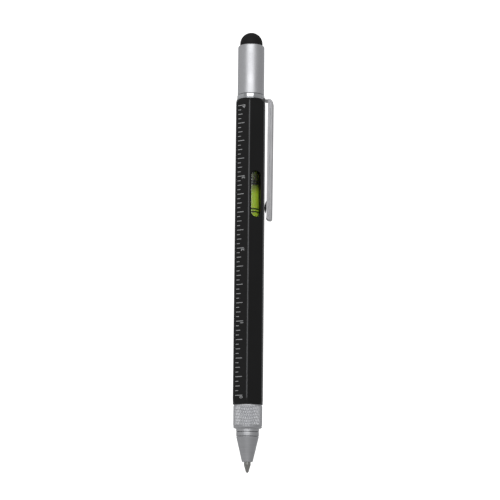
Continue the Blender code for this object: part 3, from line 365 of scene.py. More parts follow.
def add(
    tree: Tree,
    kind: str,
    settings: dict[str | int, object] | None = None,
    links: dict[str | int, Node | Socket] | None = None,
) -> Node:
    """Adds a node with its settings and links.

    Args:
        tree: the node tree.
        kind: the node's type, without the words that all types start with.
        settings: its properties, and the values of its sockets by name or number.
        links: for each of its sockets, the socket that feeds it, or a node whose first one does.

    Returns:
        The new node.
    """
    node = tree.nodes.new("ShaderNode" + kind)
    for key, value in (settings or {}).items():
        if isinstance(key, str) and hasattr(node, key):
            setattr(node, key, value)
        else:
            node.inputs[key].default_value = value
    for key, source in (links or {}).items():
        tree.links.new(source.outputs[0] if isinstance(source, Node) else source, node.inputs[key])
    return node


def blank(owner: bpy.types.Material | bpy.types.World) -> Tree:
    """Clears the nodes of a material or of the world.

    Args:
        owner: the material or world.

    Returns:
        Its empty node tree.
    """
    owner.use_nodes = True
    owner.node_tree.nodes.clear()
    return owner.node_tree


@dataclass(frozen=True)
class Look:
    """What every finish has: a name, a colour and a material."""

    name: str
    colour: str

    def material(self) -> bpy.types.Material:
        """Makes the finish's material at its first use.

        Returns:
            The material.
        """
        made = bpy.data.materials.get(self.name)
        if not made:
            made = bpy.data.materials.new(self.name)
            tree = blank(made)
            where = add(tree, "TexCoord").outputs["Object"]
            add(tree, "OutputMaterial", links={"Surface": self.shader(tree, where)})
        return made

    def shader(self, tree: Tree, where: Socket) -> Node:
        """Builds the shader, in the way of each kind of finish.

        Args:
            tree: the material's node tree.
            where: the piece's own coordinates.

        Returns:
            The shader.
        """
        raise NotImplementedError


class Grain(Enum):
    """How a surface was made, as the stretch of its pattern along the pen and across it."""

    BLASTED = (1.0, 1.0)
    TURNED = (1.0, 0.04)
    DRAWN = (0.03, 1.0)
    MOULDED = (0.7, 0.7)
    POLISHED = (0.25, 0.25)


@dataclass(frozen=True)
class Finish(Look):
    """An opaque finish: its tone and gloss waver with the grain that the making left."""

    roughness: float
    grain: Grain
    grain_size: float
    relief: float
    metallic: float = 1.0
    ior: float = 1.5
    tone_spread: float = 0.08
    gloss_spread: float = 0.06
    handling_size: float = 9 * MM
    # Lighter colour on the outermost corners, and where it starts and ends: the finish rubbed thin, and a
    # painted highlight
    worn_colour: str = ""
    worn_from: float = 0.0
    worn_to: float = 0.0

    def shader(self, tree: Tree, where: Socket) -> Node:
        """Builds the finish from its grain and from wider marks of handling.

        Args:
            tree: the material's node tree.
            where: the piece's own coordinates.

        Returns:
            The shader.
        """
        along, across = (share / self.grain_size for share in self.grain.value)
        space = add(tree, "Mapping", {"Scale": (along, across, across)}, {"Vector": where})
        grain = add(tree, "TexNoise", {"Scale": 1.0, "Detail": 4.0, "Roughness": 0.55}, {"Vector": space})
        handling = add(tree, "TexNoise", {"Scale": 1 / self.handling_size, "Detail": 3.0}, {"Vector": where})
        middle = {"From Min": 0.3, "From Max": 0.7}
        tones = middle | {"To Min": 1 - self.tone_spread, "To Max": 1 + self.tone_spread / 2}
        tone = add(tree, "MapRange", tones, {"Value": grain})
        base = add(tree, "RGB")
        base.outputs[0].default_value = linear(self.colour)
        toned = add(tree, "VectorMath", {"operation": "SCALE"}, {0: base, "Scale": tone})
        matt, glossy = self.roughness + self.gloss_spread, self.roughness - self.gloss_spread / 2
        gloss = add(tree, "MapRange", middle | {"To Min": glossy, "To Max": matt}, {"Value": handling})
        bump = add(tree, "Bump", {"Strength": 1.0, "Distance": self.relief}, {"Height": grain})
        return add(
            tree, "BsdfPrincipled", {"Metallic": self.metallic, "IOR": self.ior},
            {
                "Base Color": self.worn(tree, where, grain, toned) if self.worn_colour else toned,
                "Roughness": gloss, "Normal": bump,
            },
        )

    def worn(self, tree: Tree, where: Socket, grain: Node, toned: Node) -> Socket:
        """Lightens what stands furthest from the pen's axis: the finish rubbed thin there, and a painted
        highlight along the corners.

        Args:
            tree: the material's node tree.
            where: the piece's own coordinates.
            grain: the noise that breaks the lighter edge up.
            toned: the colour so far.

        Returns:
            The colour, rubbed lighter and with its painted highlight.
        """
        centred = add(tree, "VectorMath", {"operation": "SUBTRACT", 1: (0, 0, AXIS.height)}, {0: where})
        flat = add(tree, "VectorMath", {"operation": "MULTIPLY", 1: (0, 1, 1)}, {0: centred})
        radius = add(tree, "VectorMath", {"operation": "LENGTH"}, {0: flat}).outputs["Value"]
        ends = {"From Min": self.worn_from, "From Max": self.worn_to, "interpolation_type": "SMOOTHSTEP"}
        reach = add(tree, "MapRange", ends, {"Value": radius})
        broken = add(tree, "Math", {"operation": "MULTIPLY"}, {0: reach, 1: grain})
        # Lighter corners: the finish rubbed thin, and a painted highlight along them
        edge_lightening = {"data_type": "RGBA", 7: linear(self.worn_colour)}
        return add(tree, "Mix", edge_lightening, {0: broken, 6: toned}).outputs[2]


@dataclass(frozen=True)
class ClearFinish(Look):
    """A clear moulded plastic with faint flow lines."""

    ior: float
    roughness: float
    flow_size: float
    relief: float

    def shader(self, tree: Tree, where: Socket) -> Node:
        """Builds the clear plastic.

        Args:
            tree: the material's node tree.
            where: the piece's own coordinates.

        Returns:
            The shader.
        """
        flow = add(tree, "TexNoise", {"Scale": 1 / self.flow_size, "Detail": 2.0}, {"Vector": where})
        glosses = {"To Min": self.roughness, "To Max": self.roughness * 2}
        gloss = add(tree, "MapRange", glosses, {"Value": flow})
        bump = add(tree, "Bump", {"Strength": 0.5, "Distance": self.relief}, {"Height": flow})
        return add(
            tree, "BsdfPrincipled",
            {"Base Color": linear(self.colour), "IOR": self.ior, "Transmission Weight": 1.0},
            {"Roughness": gloss, "Normal": bump},
        )


@dataclass(frozen=True)
class LiquidFinish(Look):
    """A dyed liquid with a faint painted glow, and painted shade, dark and blotched, at the bubble's end."""

    # Colour of the painted shade at the bubble's end
    deep_colour: str
    blotch_size: float
    meniscus_x: float
    # How far from the bubble's end the painted shade fades out
    clinging: float
    # Colour and strength of the painted glow
    glow_colour: str
    glow: float
    ior: float = 1.36
    blotch_range: tuple[float, float] = (0.38, 0.56)
    blotch_least: float = 0.84
    roughness: float = 0.12
    cloudiness: float = 0.25
    cloud_depth: float = 1 * MM

    def shader(self, tree: Tree, where: Socket) -> Node:
        """Builds the liquid.

        Args:
            tree: the material's node tree.
            where: the piece's own coordinates.

        Returns:
            The shader.
        """
        along = add(tree, "SeparateXYZ", links={"Vector": where})
        # Painted shade: darker and blotched at the bubble's end, fading out along the column
        clings = {"From Min": self.meniscus_x, "From Max": self.meniscus_x + self.clinging}
        near_bubble = add(tree, "MapRange", clings | {"To Min": 1.0, "To Max": 0.0}, {"Value": along})
        blotches = add(tree, "TexNoise", {"Scale": 1 / self.blotch_size, "Detail": 3.0}, {"Vector": where})
        low, high = self.blotch_range
        cuts = {"From Min": low, "From Max": high, "To Min": self.blotch_least}
        cut = add(tree, "MapRange", cuts, {"Value": blotches})
        share = add(tree, "Math", {"operation": "MULTIPLY"}, {0: near_bubble, 1: cut})
        colours = {"data_type": "RGBA", 6: linear(self.colour), 7: linear(self.deep_colour)}
        colour = add(tree, "Mix", colours, {0: share}).outputs[2]
        # Painted glow: the liquid shines by itself, least where the painted shade lies
        glow = add(tree, "MapRange", {"To Min": self.glow, "To Max": 0.0}, {"Value": share})
        return add(
            tree, "BsdfPrincipled",
            {
                "Roughness": self.roughness, "IOR": self.ior, "Subsurface Weight": self.cloudiness,
                "Subsurface Scale": self.cloud_depth, "Emission Color": linear(self.glow_colour),
            },
            {"Base Color": colour, "Emission Strength": glow},
        )


# Black anodised aluminium, extruded: almost no colour of its own and a satin sheen; its corners are lighter,
# partly rubbed thin and partly a painted highlight
BLACK_ANODISED = Finish(
    "extruded_black_anodised_aluminium", "#050506", 0.30, Grain.BLASTED, 0.40 * MM, 0.0012 * MM, metallic=0.0,
    ior=1.42, tone_spread=0.25, worn_colour="#6a6b6e", worn_from=5.60 * MM, worn_to=5.69 * MM,
)
# Blasted and clear anodised aluminium: a soft wide highlight. Its 0.1 mm pits are drawn at 0.4 mm to show
SATIN_ALUMINIUM = Finish("satin_anodised_aluminium", "#cdced1", 0.45, Grain.BLASTED, 0.40 * MM, 0.0015 * MM)
# The same aluminium as the tool cut it: fine rings round the cone, 0.08 mm apart, drawn at 0.25 mm to show
TURNED_ALUMINIUM = Finish("turned_aluminium", "#c6c7ca", 0.48, Grain.TURNED, 0.25 * MM, 0.0018 * MM)
# Chromed brass, polished: mirrors the softbox with a sharp edge
POLISHED_CHROME = Finish(
    "polished_chrome", "#cfd1d4", 0.09, Grain.POLISHED, 1.2 * MM, 0.0008 * MM, gloss_spread=0.03,
)
# Nickel-plated pressed steel: bright, with faint lines along the strip
PLATED_STEEL = Finish("nickel_plated_steel", "#d2d2d4", 0.30, Grain.DRAWN, 0.35 * MM, 0.0012 * MM)
# Hardened tool steel: dull grey, ground
TOOL_STEEL = Finish(
    "hardened_tool_steel", "#8f9092", 0.36, Grain.DRAWN, 0.30 * MM, 0.0018 * MM, tone_spread=0.14,
)
# Nickel-plated sintered magnet: a dull mirror
MAGNET = Finish("plated_magnet", "#a3a4a6", 0.28, Grain.BLASTED, 0.50 * MM, 0.0015 * MM)
# Turned brass: a warm yellow with tool rings
BRASS = Finish("turned_brass", "#d3b26a", 0.28, Grain.TURNED, 0.30 * MM, 0.0018 * MM, tone_spread=0.12)
# Turned nickel silver: a pale, slightly warm metal
NICKEL_SILVER = Finish("turned_nickel_silver", "#acaca9", 0.14, Grain.TURNED, 0.20 * MM, 0.0010 * MM)
# Polished tungsten carbide: a dark mirror
CARBIDE = Finish("polished_tungsten_carbide", "#7d7e81", 0.16, Grain.POLISHED, 0.30 * MM, 0.0004 * MM)
# Conductive silicone rubber, moulded: matte, with a faint bloom
RUBBER = Finish(
    "moulded_silicone_rubber", "#09090a", 0.70, Grain.MOULDED, 0.50 * MM, 0.0060 * MM, metallic=0.0, ior=1.41,
    tone_spread=0.18,
)
# Moulded ABS in black: satin, drawn a little uneven
BLACK_PLASTIC = Finish(
    "moulded_black_abs", "#161617", 0.42, Grain.MOULDED, 0.60 * MM, 0.0030 * MM, metallic=0.0, ior=1.54,
)
# Moulded acetal in white: waxy
WHITE_PLASTIC = Finish(
    "moulded_white_acetal", "#dbdad6", 0.38, Grain.MOULDED, 0.60 * MM, 0.0030 * MM, metallic=0.0, ior=1.48,
)
# Oil-based ink paste seen through its tube: dark and wet
INK = Finish(
    "black_ink_paste", "#101014", 0.35, Grain.MOULDED, 0.80 * MM, 0.0020 * MM, metallic=0.0, ior=1.47,
)
# Screen-printed white enamel: a thin opaque film, a touch uneven
PRINTED_WHITE = Finish(
    "printed_white_enamel", "#b9babc", 0.45, Grain.BLASTED, 0.30 * MM, 0.0010 * MM, metallic=0.0,
    tone_spread=0.22,
)
# Printed black enamel of the vial's rings: a thin dark film
PRINTED_BLACK = Finish(
    "printed_black_enamel", "#0d0d0e", 0.40, Grain.BLASTED, 0.30 * MM, 0.0010 * MM, metallic=0.0,
)
# Cast acrylic: clear, with faint flow lines
ACRYLIC = ClearFinish("clear_cast_acrylic", "#f6f8f5", 1.49, 0.03, 2.0 * MM, 0.0006 * MM)
# Dyed spirit in the vial: a bright lime with a painted glow, and painted shade, dark and mottled, at the
# bubble's end
LIME_SPIRIT = LiquidFinish(
    "dyed_lime_spirit", "#c6e040", "#34372a", 0.7 * MM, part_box("vial_liquid")[0].x, 3.6 * MM, "#a0b83c", 0.19,
)


# Presenting pieces


def dress(
    piece: Piece, body: str, finish: Look, nodes: Sequence[str] = (), weighted: bool = True,
) -> None:
    """Lays a piece down, shades it, gives it its finish and hangs it on its body.

    Args:
        piece: the piece, drawn upright.
        body: CAD body that it rides on.
        finish: its finish.
        nodes: CAD nodes that it stands for.
        weighted: whether large faces rule its smooth shading, so that flats stay flat.
    """
    piece.data.transform(AXIS.lay())
    piece.data.shade_smooth()
    piece.data.set_sharp_from_angle(angle=SHARP)
    if weighted:
        piece.modifiers.new("flats_stay_flat", "WEIGHTED_NORMAL").keep_sharp = True
    piece.data.materials.clear()
    piece.data.materials.append(finish.material())
    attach(piece, body)
    if nodes:
        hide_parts(*nodes)
    LOG.info("%s: %d faces on %s, %s", piece.name, len(piece.data.polygons), body, finish.name)


def carry_over(node: str, finish: Look) -> None:
    """Keeps a CAD node whose shape is right, and gives it its finish.

    Args:
        node: name of the CAD node.
        finish: its finish.
    """
    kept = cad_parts[node]
    kept.data.materials.clear()
    kept.data.materials.append(finish.material())
    LOG.info("%s: kept from the frame, %s", node, finish.name)


def threaded_bush(name: str, node: str, body: str, wall: float, reach: float = math.inf) -> None:
    """Builds a brass bush with a thread in its bore.

    Args:
        name: name of the piece.
        node: CAD node that it stands for.
        body: CAD body that it rides on.
        wall: its wall outside the crests.
        reach: how far the thread goes up its bore.
    """
    base, top = AXIS.span(node)
    radius = AXIS.radius(node)
    bore = radius - wall
    high = min(top, base + reach)
    rings = [circle(bore, top, SIDES)] if high < top else []
    rings += [circle(radius, top, SIDES), circle(radius, base, SIDES)]
    rings += reversed(THREAD.rings(bore, high, base, SIDES, hand=1))
    dress(lofted(name, rings, looped=True), body, BRASS, [node], weighted=False)


# The pen's sub-assemblies


@dataclass
class Barrel:
    """Hexagonal tube with its window and turned ends."""

    flats: float = 10.0 * MM
    corner_round: float = 0.5 * MM
    wall: float = 1.2 * MM
    nib_turning: tuple[float, float] = (2.2 * MM, 0.45 * MM)
    cap_turning: tuple[float, float] = (1.3 * MM, 0.65 * MM)
    window_length: float = 16.3 * MM
    window_width: float = 3.7 * MM
    window_below_top: float = 25.9 * MM
    window_chamfer: float = 0.12 * MM
    end_lap: float = 0.15 * MM

    def __post_init__(self) -> None:
        """Takes the barrel's heights from the frame and derives its radii."""
        self.base, self.top = AXIS.span("barrel")
        self.end = self.top + self.end_lap
        self.face = self.flats / 2
        self.bore = self.face - self.wall
        self.corner_radius = (self.face - self.corner_round) / COS_30 + self.corner_round
        self.window_top = self.top - self.window_below_top
        self.window_base = self.window_top - self.window_length

    def build(self) -> None:
        """Builds the barrel's shell."""
        shell = column("barrel_shell", hexagon(self.face / COS_30), (self.end, self.base))
        self.round_corners(shell)
        combined(shell, self.turning(), "INTERSECT")
        combined(shell, rod("bore_cutter", self.bore, self.top + CLEAR, self.base - CLEAR, SIDES))
        outside = self.face + CLEAR
        combined(shell, self.slot("window_cutter", ((outside, 0.0), (0.0, 0.0))))
        flared = ((outside, CLEAR + self.window_chamfer), (self.face - self.window_chamfer, 0.0))
        combined(shell, self.slot("chamfer_cutter", flared))
        dress(shell, "barrel", BLACK_ANODISED, ["barrel"])

    def round_corners(self, shell: Piece) -> None:
        """Rounds the long corners of the hexagon.

        Args:
            shell: the sharp hexagonal shell.
        """
        offset = self.corner_round * math.tan(math.pi / 6)
        bm = bmesh.new()
        bm.from_mesh(shell.data)
        corners = [e for e in bm.edges if abs(e.verts[0].co.z - e.verts[1].co.z) > CLEAR]
        bmesh.ops.bevel(bm, geom=corners, offset=offset, segments=10, profile=0.5, affect="EDGES")
        bm.to_mesh(shell.data)
        bm.free()

    def turning(self) -> Piece:
        """Draws the turned envelope that both ends of the barrel keep within.

        Returns:
            The envelope.
        """
        (nib_length, nib_depth), (cap_length, cap_depth) = self.nib_turning, self.cap_turning
        nib_slope, cap_slope = nib_depth / nib_length, cap_depth / cap_length
        wide = self.corner_radius + CLEAR
        return turned("turning_envelope", [
            (0, self.end + CLEAR),
            (self.corner_radius - cap_depth - cap_slope * CLEAR, self.end + CLEAR),
            (wide, self.end - cap_length - CLEAR / cap_slope),
            (wide, self.base + nib_length + CLEAR / nib_slope),
            (self.corner_radius - nib_depth - nib_slope * CLEAR, self.base - CLEAR),
            (0, self.base - CLEAR),
        ], SIDES * 2)

    def slot(self, name: str, layers: Sequence[tuple[float, float]]) -> Piece:
        """A cutter with the window's long round shape.

        Args:
            name: name of the cutter.
            layers: distance from the axis of its outer and inner end, and how much wider each is.

        Returns:
            The cutter.
        """
        half = self.window_width / 2
        rings = []
        for across, grown in layers:
            rim = arc((0, self.window_base + half), half + grown, math.pi, 2 * math.pi, 24)
            rim += arc((0, self.window_top - half), half + grown, 0, math.pi, 24)
            rings.append([(across, y, z) for y, z in rim])
        return lofted(name, rings)


@dataclass
class Scale:
    """Ticks and numbers printed on one face of the barrel."""

    name: str
    face_turn: float
    spacing: float
    count: int
    numbered_every: int
    lengths: dict[int, float]
    barrel: Barrel
    first_height: float = 26.05 * MM
    tick_from: float = -1.84 * MM
    stroke: float = 0.22 * MM
    number_height: float = 1.3 * MM
    number_centre: float = 0.56 * MM
    number_shift: float = -0.65 * MM
    number_weight: float = 0.012
    number_smoothness: int = 4
    film: float = 0.012 * MM
    sunk: float = 0.02 * MM

    def __post_init__(self) -> None:
        """Sets up the space of the face: across it, along the pen and out of it."""
        out = Vector((math.cos(self.face_turn), math.sin(self.face_turn), 0))
        across = Vector((-out.y, out.x, 0))
        self.space = standing(across, Vector((0, 0, 1)), out, out * self.barrel.face)

    def build(self) -> None:
        """Builds the ticks and numbers as one thin film of print."""
        bm = bmesh.new()
        steps = sorted(self.lengths, reverse=True)
        for index in range(self.count):
            length = next(self.lengths[step] for step in steps if index % step == 0)
            size = Vector((length, self.stroke, self.film + self.sunk))
            height = self.first_height + self.spacing * index
            middle = (self.tick_from + length / 2, height, (self.film - self.sunk) / 2)
            place = self.space @ Matrix.Translation(middle) @ Matrix.Diagonal(size.to_4d())
            bmesh.ops.create_cube(bm, size=1, matrix=place)
            if index % self.numbered_every == 0:
                self.add_number(bm, index // self.numbered_every, height)
        dress(from_bmesh(self.name, bm), "barrel", PRINTED_WHITE, weighted=False)

    def add_number(self, bm: bmesh.types.BMesh, number: int, height: float) -> None:
        """Adds one number beside its tick, its top towards the ticks' foot.

        Args:
            bm: the mesh that takes it.
            number: the number.
            height: height of its tick.
        """
        text = bpy.data.curves.new(f"{self.name}_{number}", "FONT")
        text.body = str(number)
        text.resolution_u = self.number_smoothness
        text.offset = self.number_weight
        text.extrude = (self.film + self.sunk) / 2 / self.number_height
        holder = new_piece(text.name, text)
        glyph = evaluated(holder)
        points = [v.co for v in glyph.vertices]
        low, high = (Vector([end(p[i] for p in points) for i in range(3)]) for end in (min, max))
        size = self.number_height / (high.y - low.y)
        glyph.transform(Matrix.Translation(-(low + high) / 2))
        glyph.transform(Matrix.Diagonal((size, size, (self.film + self.sunk) / (high.z - low.z), 1)))
        middle = (self.number_centre, height + self.number_shift, (self.film - self.sunk) / 2)
        glyph.transform(self.space @ Matrix.Translation(middle) @ Matrix.Rotation(math.pi / 2, 4, "Z"))
        bm.from_mesh(glyph)
        bpy.data.objects.remove(holder, do_unlink=True)


@dataclass
class Clip:
    """Pressed steel clip: a cranked arm under the collar, a creased channel, a dimple and a curled end."""

    barrel: Barrel
    length: float = 42.9 * MM
    width: float = 4.4 * MM
    depth: float = 1.94 * MM
    sheet: float = 0.5 * MM
    stand_off: float = 1.19 * MM
    lean: float = 0.24 * MM
    draft: float = math.radians(19.3)
    crest_round: float = 0.35 * MM
    crest_inset: float = 0.02 * MM
    crease_from_crest: float = 1.1 * MM
    crease_width: float = 0.3 * MM
    crease_depth: float = 0.25 * MM
    shoulder: tuple[float, float] = (1.6 * MM, 2.2 * MM)
    fillet: float = 0.4 * MM
    end_round: float = 0.75 * MM
    end_taper: float = 1.35 * MM
    end_flare: float = 0.38 * MM
    flare_length: float = 2.2 * MM
    arm: float = 0.6 * MM
    arm_width: float = 3.0 * MM
    arm_lift: float = 0.06 * MM
    arm_draft: float = math.radians(35)
    crank_drop: float = 0.38 * MM
    crank_depth: float = 0.85 * MM
    tab: float = 0.55 * MM
    dimple_size: tuple[float, float] = (2.8 * MM, 7.7 * MM)
    dimple_above_end: float = 4.5 * MM

    def __post_init__(self) -> None:
        """Works out distances from the root, in the middle of the barrel's wall, and heights over the arm."""
        self.root = self.barrel.face - self.barrel.wall / 2
        self.face = self.barrel.face + SEAM - self.root
        self.tab_end = self.barrel.bore - self.tab - self.root
        self.outer = self.barrel.face + self.stand_off + self.depth - self.root
        self.end_outer = self.outer - self.lean
        self.inner = self.outer - self.depth
        self.arm_base = AXIS.span("collar_ring")[0] + self.arm_lift
        self.top = self.arm / 2
        self.hang = self.arm_base + self.top
        self.end = self.barrel.top - self.length - self.hang
        self.high = self.top - self.crank_drop
        self.low = self.high - self.crank_depth
        self.foot = self.low - self.fillet

    def build(self) -> None:
        """Presses the plate to a channel, trims its arm, adds its dimple and hangs it on the barrel's end."""
        clip = plate("pressed_clip", self.outline(), self.width / 2)
        outside = (-self.outer - CLEAR, -self.crest_inset)
        ends = (self.end - CLEAR, self.top + CLEAR)
        combined(clip, self.strip_form(outside, 0.0, self.crest_round, ends), "INTERSECT")
        inside = (-self.depth - CLEAR, -self.sheet)
        ends = (self.end + self.end_taper, self.foot)
        combined(clip, self.strip_form(inside, self.sheet / math.cos(self.draft), self.crest_round / 2, ends))
        for side in (-1, 1):
            combined(clip, self.arm_side(side))
        combined(clip, self.dimple(), "UNION")
        place = Matrix.Translation((self.root, 0, self.hang))
        clip.data.transform(Matrix.Rotation(math.pi / 3, 4, "Z") @ place)
        dress(clip, "clip", PLATED_STEEL, ["clip"])

    def outline(self) -> Profile:
        """Draws the clip from the side: along its outside to the end and back along its inside.

        Returns:
            Its (distance, height) points.
        """
        reach, drop = self.shoulder
        lip = self.end_outer - self.end_round
        points: Profile = [(self.tab_end, self.top), (self.face, self.top), (self.face + SEAM, self.high)]
        points += oval((self.outer - reach, self.high - drop), self.shoulder, math.pi / 2, 0, 20)
        points += arc((lip, self.end + self.end_round), self.end_round, 0, -math.pi / 2, 12)
        inner_end = (self.depth + self.end_flare - self.end_round, self.end_taper)
        points += oval((lip, self.end + self.end_taper), inner_end, -math.pi / 2, -math.pi, 14)[1:]
        points.append((self.end_outer - self.depth, self.end + self.end_taper + self.flare_length))
        points += arc((self.inner - self.fillet, self.foot), self.fillet, 0, math.pi / 2, 10)
        return points + [(self.face, self.low), (self.face, -self.top), (self.tab_end, -self.top)]

    def arm_side(self, side: int) -> Piece:
        """A cutter that narrows the arm on one side and leans its flank towards the tip.

        Args:
            side: which side, as a sign.

        Returns:
            The cutter.
        """
        half = self.arm_width / 2
        leaned = half - (self.top - self.foot) * math.tan(self.arm_draft)
        wide, high = half + self.width, self.top + CLEAR
        corners = [(half, self.top), (half, high), (wide, high), (wide, self.foot), (leaned, self.foot)]
        rings = [[(x, side * y, z) for y, z in corners] for x in (self.inner, self.tab_end - CLEAR)]
        return lofted("arm_side_cutter", rings)

    def slot(self) -> Piece:
        """Draws the cutter for the arm's slot in the collar's lower end.

        Returns:
            The cutter.
        """
        half = self.arm_width / 2 + SLIP
        high = self.arm_base + self.arm + SEAM
        cutter = block("arm_slot_cutter", (0, -half, self.arm_base - CLEAR), (self.width * 2, half, high))
        cutter.data.transform(Matrix.Rotation(math.pi / 3, 4, "Z"))
        return cutter

    def strip_form(
        self, reach: tuple[float, float], shrink: float, rounding: float, heights: tuple[float, float],
    ) -> Piece:
        """A long form with drafted and creased flanks and a rounded crest, leaning with the strip.

        Args:
            reach: its deepest place and its crest, from the strip's outer side.
            shrink: how much narrower than the strip it is, on each side.
            rounding: rounding of its crest's corners.
            heights: its lowest and its highest height.

        Returns:
            The form.
        """
        half, crease = self.crease_width / 2, -self.crease_from_crest
        places = [(reach[0], 0.0, 0.0), (crease - half, 0.0, 0.0), (crease, self.crease_depth, 0.0)]
        places += [(crease + half, 0.0, 0.0), (reach[1], 0.0, rounding)]
        flank = [
            (x, self.width / 2 - shrink - (self.depth + x) * math.tan(self.draft) - sunk, ease)
            for x, sunk, ease in places
        ]
        flank += [(x, -y, ease) for x, y, ease in reversed(flank)]
        form = column("strip_form", eased(flank, 8), heights)
        leaning = Matrix.Rotation(math.atan(self.lean / self.length), 4, "Y")
        form.data.transform(Matrix.Translation((self.outer, 0, 0)) @ leaning)
        return form

    def dimple(self) -> Piece:
        """Draws the dimple that bears on the barrel: half an egg that starts in the middle of the sheet.

        Returns:
            The dimple.
        """
        middle = self.end_outer + self.lean / self.length * self.dimple_above_end - self.sheet / 2
        bowl = turned("dimple_tool", arc((0, 0), 0.5, -math.pi / 2, 0, 12) + [(0.0, 0.0)], 40)
        size = Matrix.Diagonal((2 * (middle - self.face), *self.dimple_size, 1))
        place = Matrix.Translation((middle, 0, self.end + self.dimple_above_end))
        bowl.data.transform(place @ size @ Matrix.Rotation(math.pi / 2, 4, "Y"))
        return bowl


@dataclass
class CapEnd:
    """Collar, seal, cap and stylus at the end opposite the writing tip."""

    clip: Clip
    sides: int = 160
    cap_wall: float = 0.85 * MM
    cap_edge: float = 0.45 * MM
    mouth_edge: float = 0.08 * MM
    bore_edge: float = 0.05 * MM
    insert_wall: float = 0.65 * MM
    joint_lap: float = 0.13 * MM
    web: float = 0.8 * MM
    stem_hole: float = 1.5 * MM
    dome_wall: float = 0.9 * MM
    groove_height: float = 0.4 * MM
    groove_width: float = 0.14 * MM
    groove_depth: float = 0.12 * MM
    collar_step: float = 0.15 * MM
    flange_round: float = 0.15 * MM
    base_lift: float = 0.06 * MM

    def build(self) -> None:
        """Builds the pieces from the collar up to the dome."""
        self.build_collar()
        self.build_cap()
        self.build_dome()
        threaded_bush("threaded_cap_bush", "cap_thread_insert", "cap", self.insert_wall)
        carry_over("cap_seal_ring", BLACK_PLASTIC)
        carry_over("stylus_insert", PLATED_STEEL)

    def build_collar(self) -> None:
        """Builds the collar: a flange that flares to the barrel, a groove, a ring and the arm's slot."""
        base, top = AXIS.span("collar_ring")
        base += self.base_lift
        top += self.joint_lap
        flange = AXIS.radius("collar_ring")
        ring = AXIS.radius("stylus_cap") + self.collar_step
        bore = AXIS.radius("cap_thread_insert") - self.insert_wall
        low = base + self.groove_height
        high = low + self.groove_width
        deep, soft = ring - self.groove_depth, self.groove_depth / 3
        collar = turned("polished_collar", eased([
            (ring, top, self.groove_depth), (ring, high, soft), (deep, high, 0), (deep, low, 0),
            (ring, low, soft), ((ring + flange) / 2, (base + low) / 2, self.flange_round),
            (flange, base + self.groove_depth, soft), (flange, base, 0), (bore, base, 0), (bore, top, 0),
        ]), self.sides)
        combined(collar, self.clip.slot())
        dress(collar, "barrel", POLISHED_CHROME, ["collar_ring"])

    def build_cap(self) -> None:
        """Builds the cap: a tube with a web near its top."""
        base, top = AXIS.span("stylus_cap")
        base -= self.joint_lap
        radius = AXIS.radius("stylus_cap")
        bore = radius - self.cap_wall
        pocket = AXIS.radius("stylus_tip") + SLIP
        web_top = AXIS.span("stylus_tip")[0] - SEAM
        web_base = web_top - self.web
        cap = turned("satin_cap", eased([
            (radius, top, self.cap_edge), (radius, base, self.mouth_edge), (bore, base, self.bore_edge),
            (bore, web_base, 0), (self.stem_hole, web_base, 0), (self.stem_hole, web_top, 0),
            (pocket, web_top, 0), (pocket, top, self.mouth_edge),
        ]), self.sides)
        dress(cap, "cap", SATIN_ALUMINIUM, ["stylus_cap"])

    def build_dome(self) -> None:
        """Builds the hollow rubber dome with its skirt."""
        base, top = AXIS.span("stylus_tip")
        radius = AXIS.radius("stylus_tip")
        equator, inner = top - radius, radius - self.dome_wall
        outline = arc((0, equator), radius, math.pi / 2, 0, 32) + [(radius, base), (inner, base)]
        outline += arc((0, equator), inner, 0, math.pi / 2, 16)
        outline[0], outline[-1] = (0, top), (0, equator + inner)
        dome = turned("rubber_dome", outline, self.sides)
        dress(dome, "cap", RUBBER, ["stylus_tip"], weighted=False)


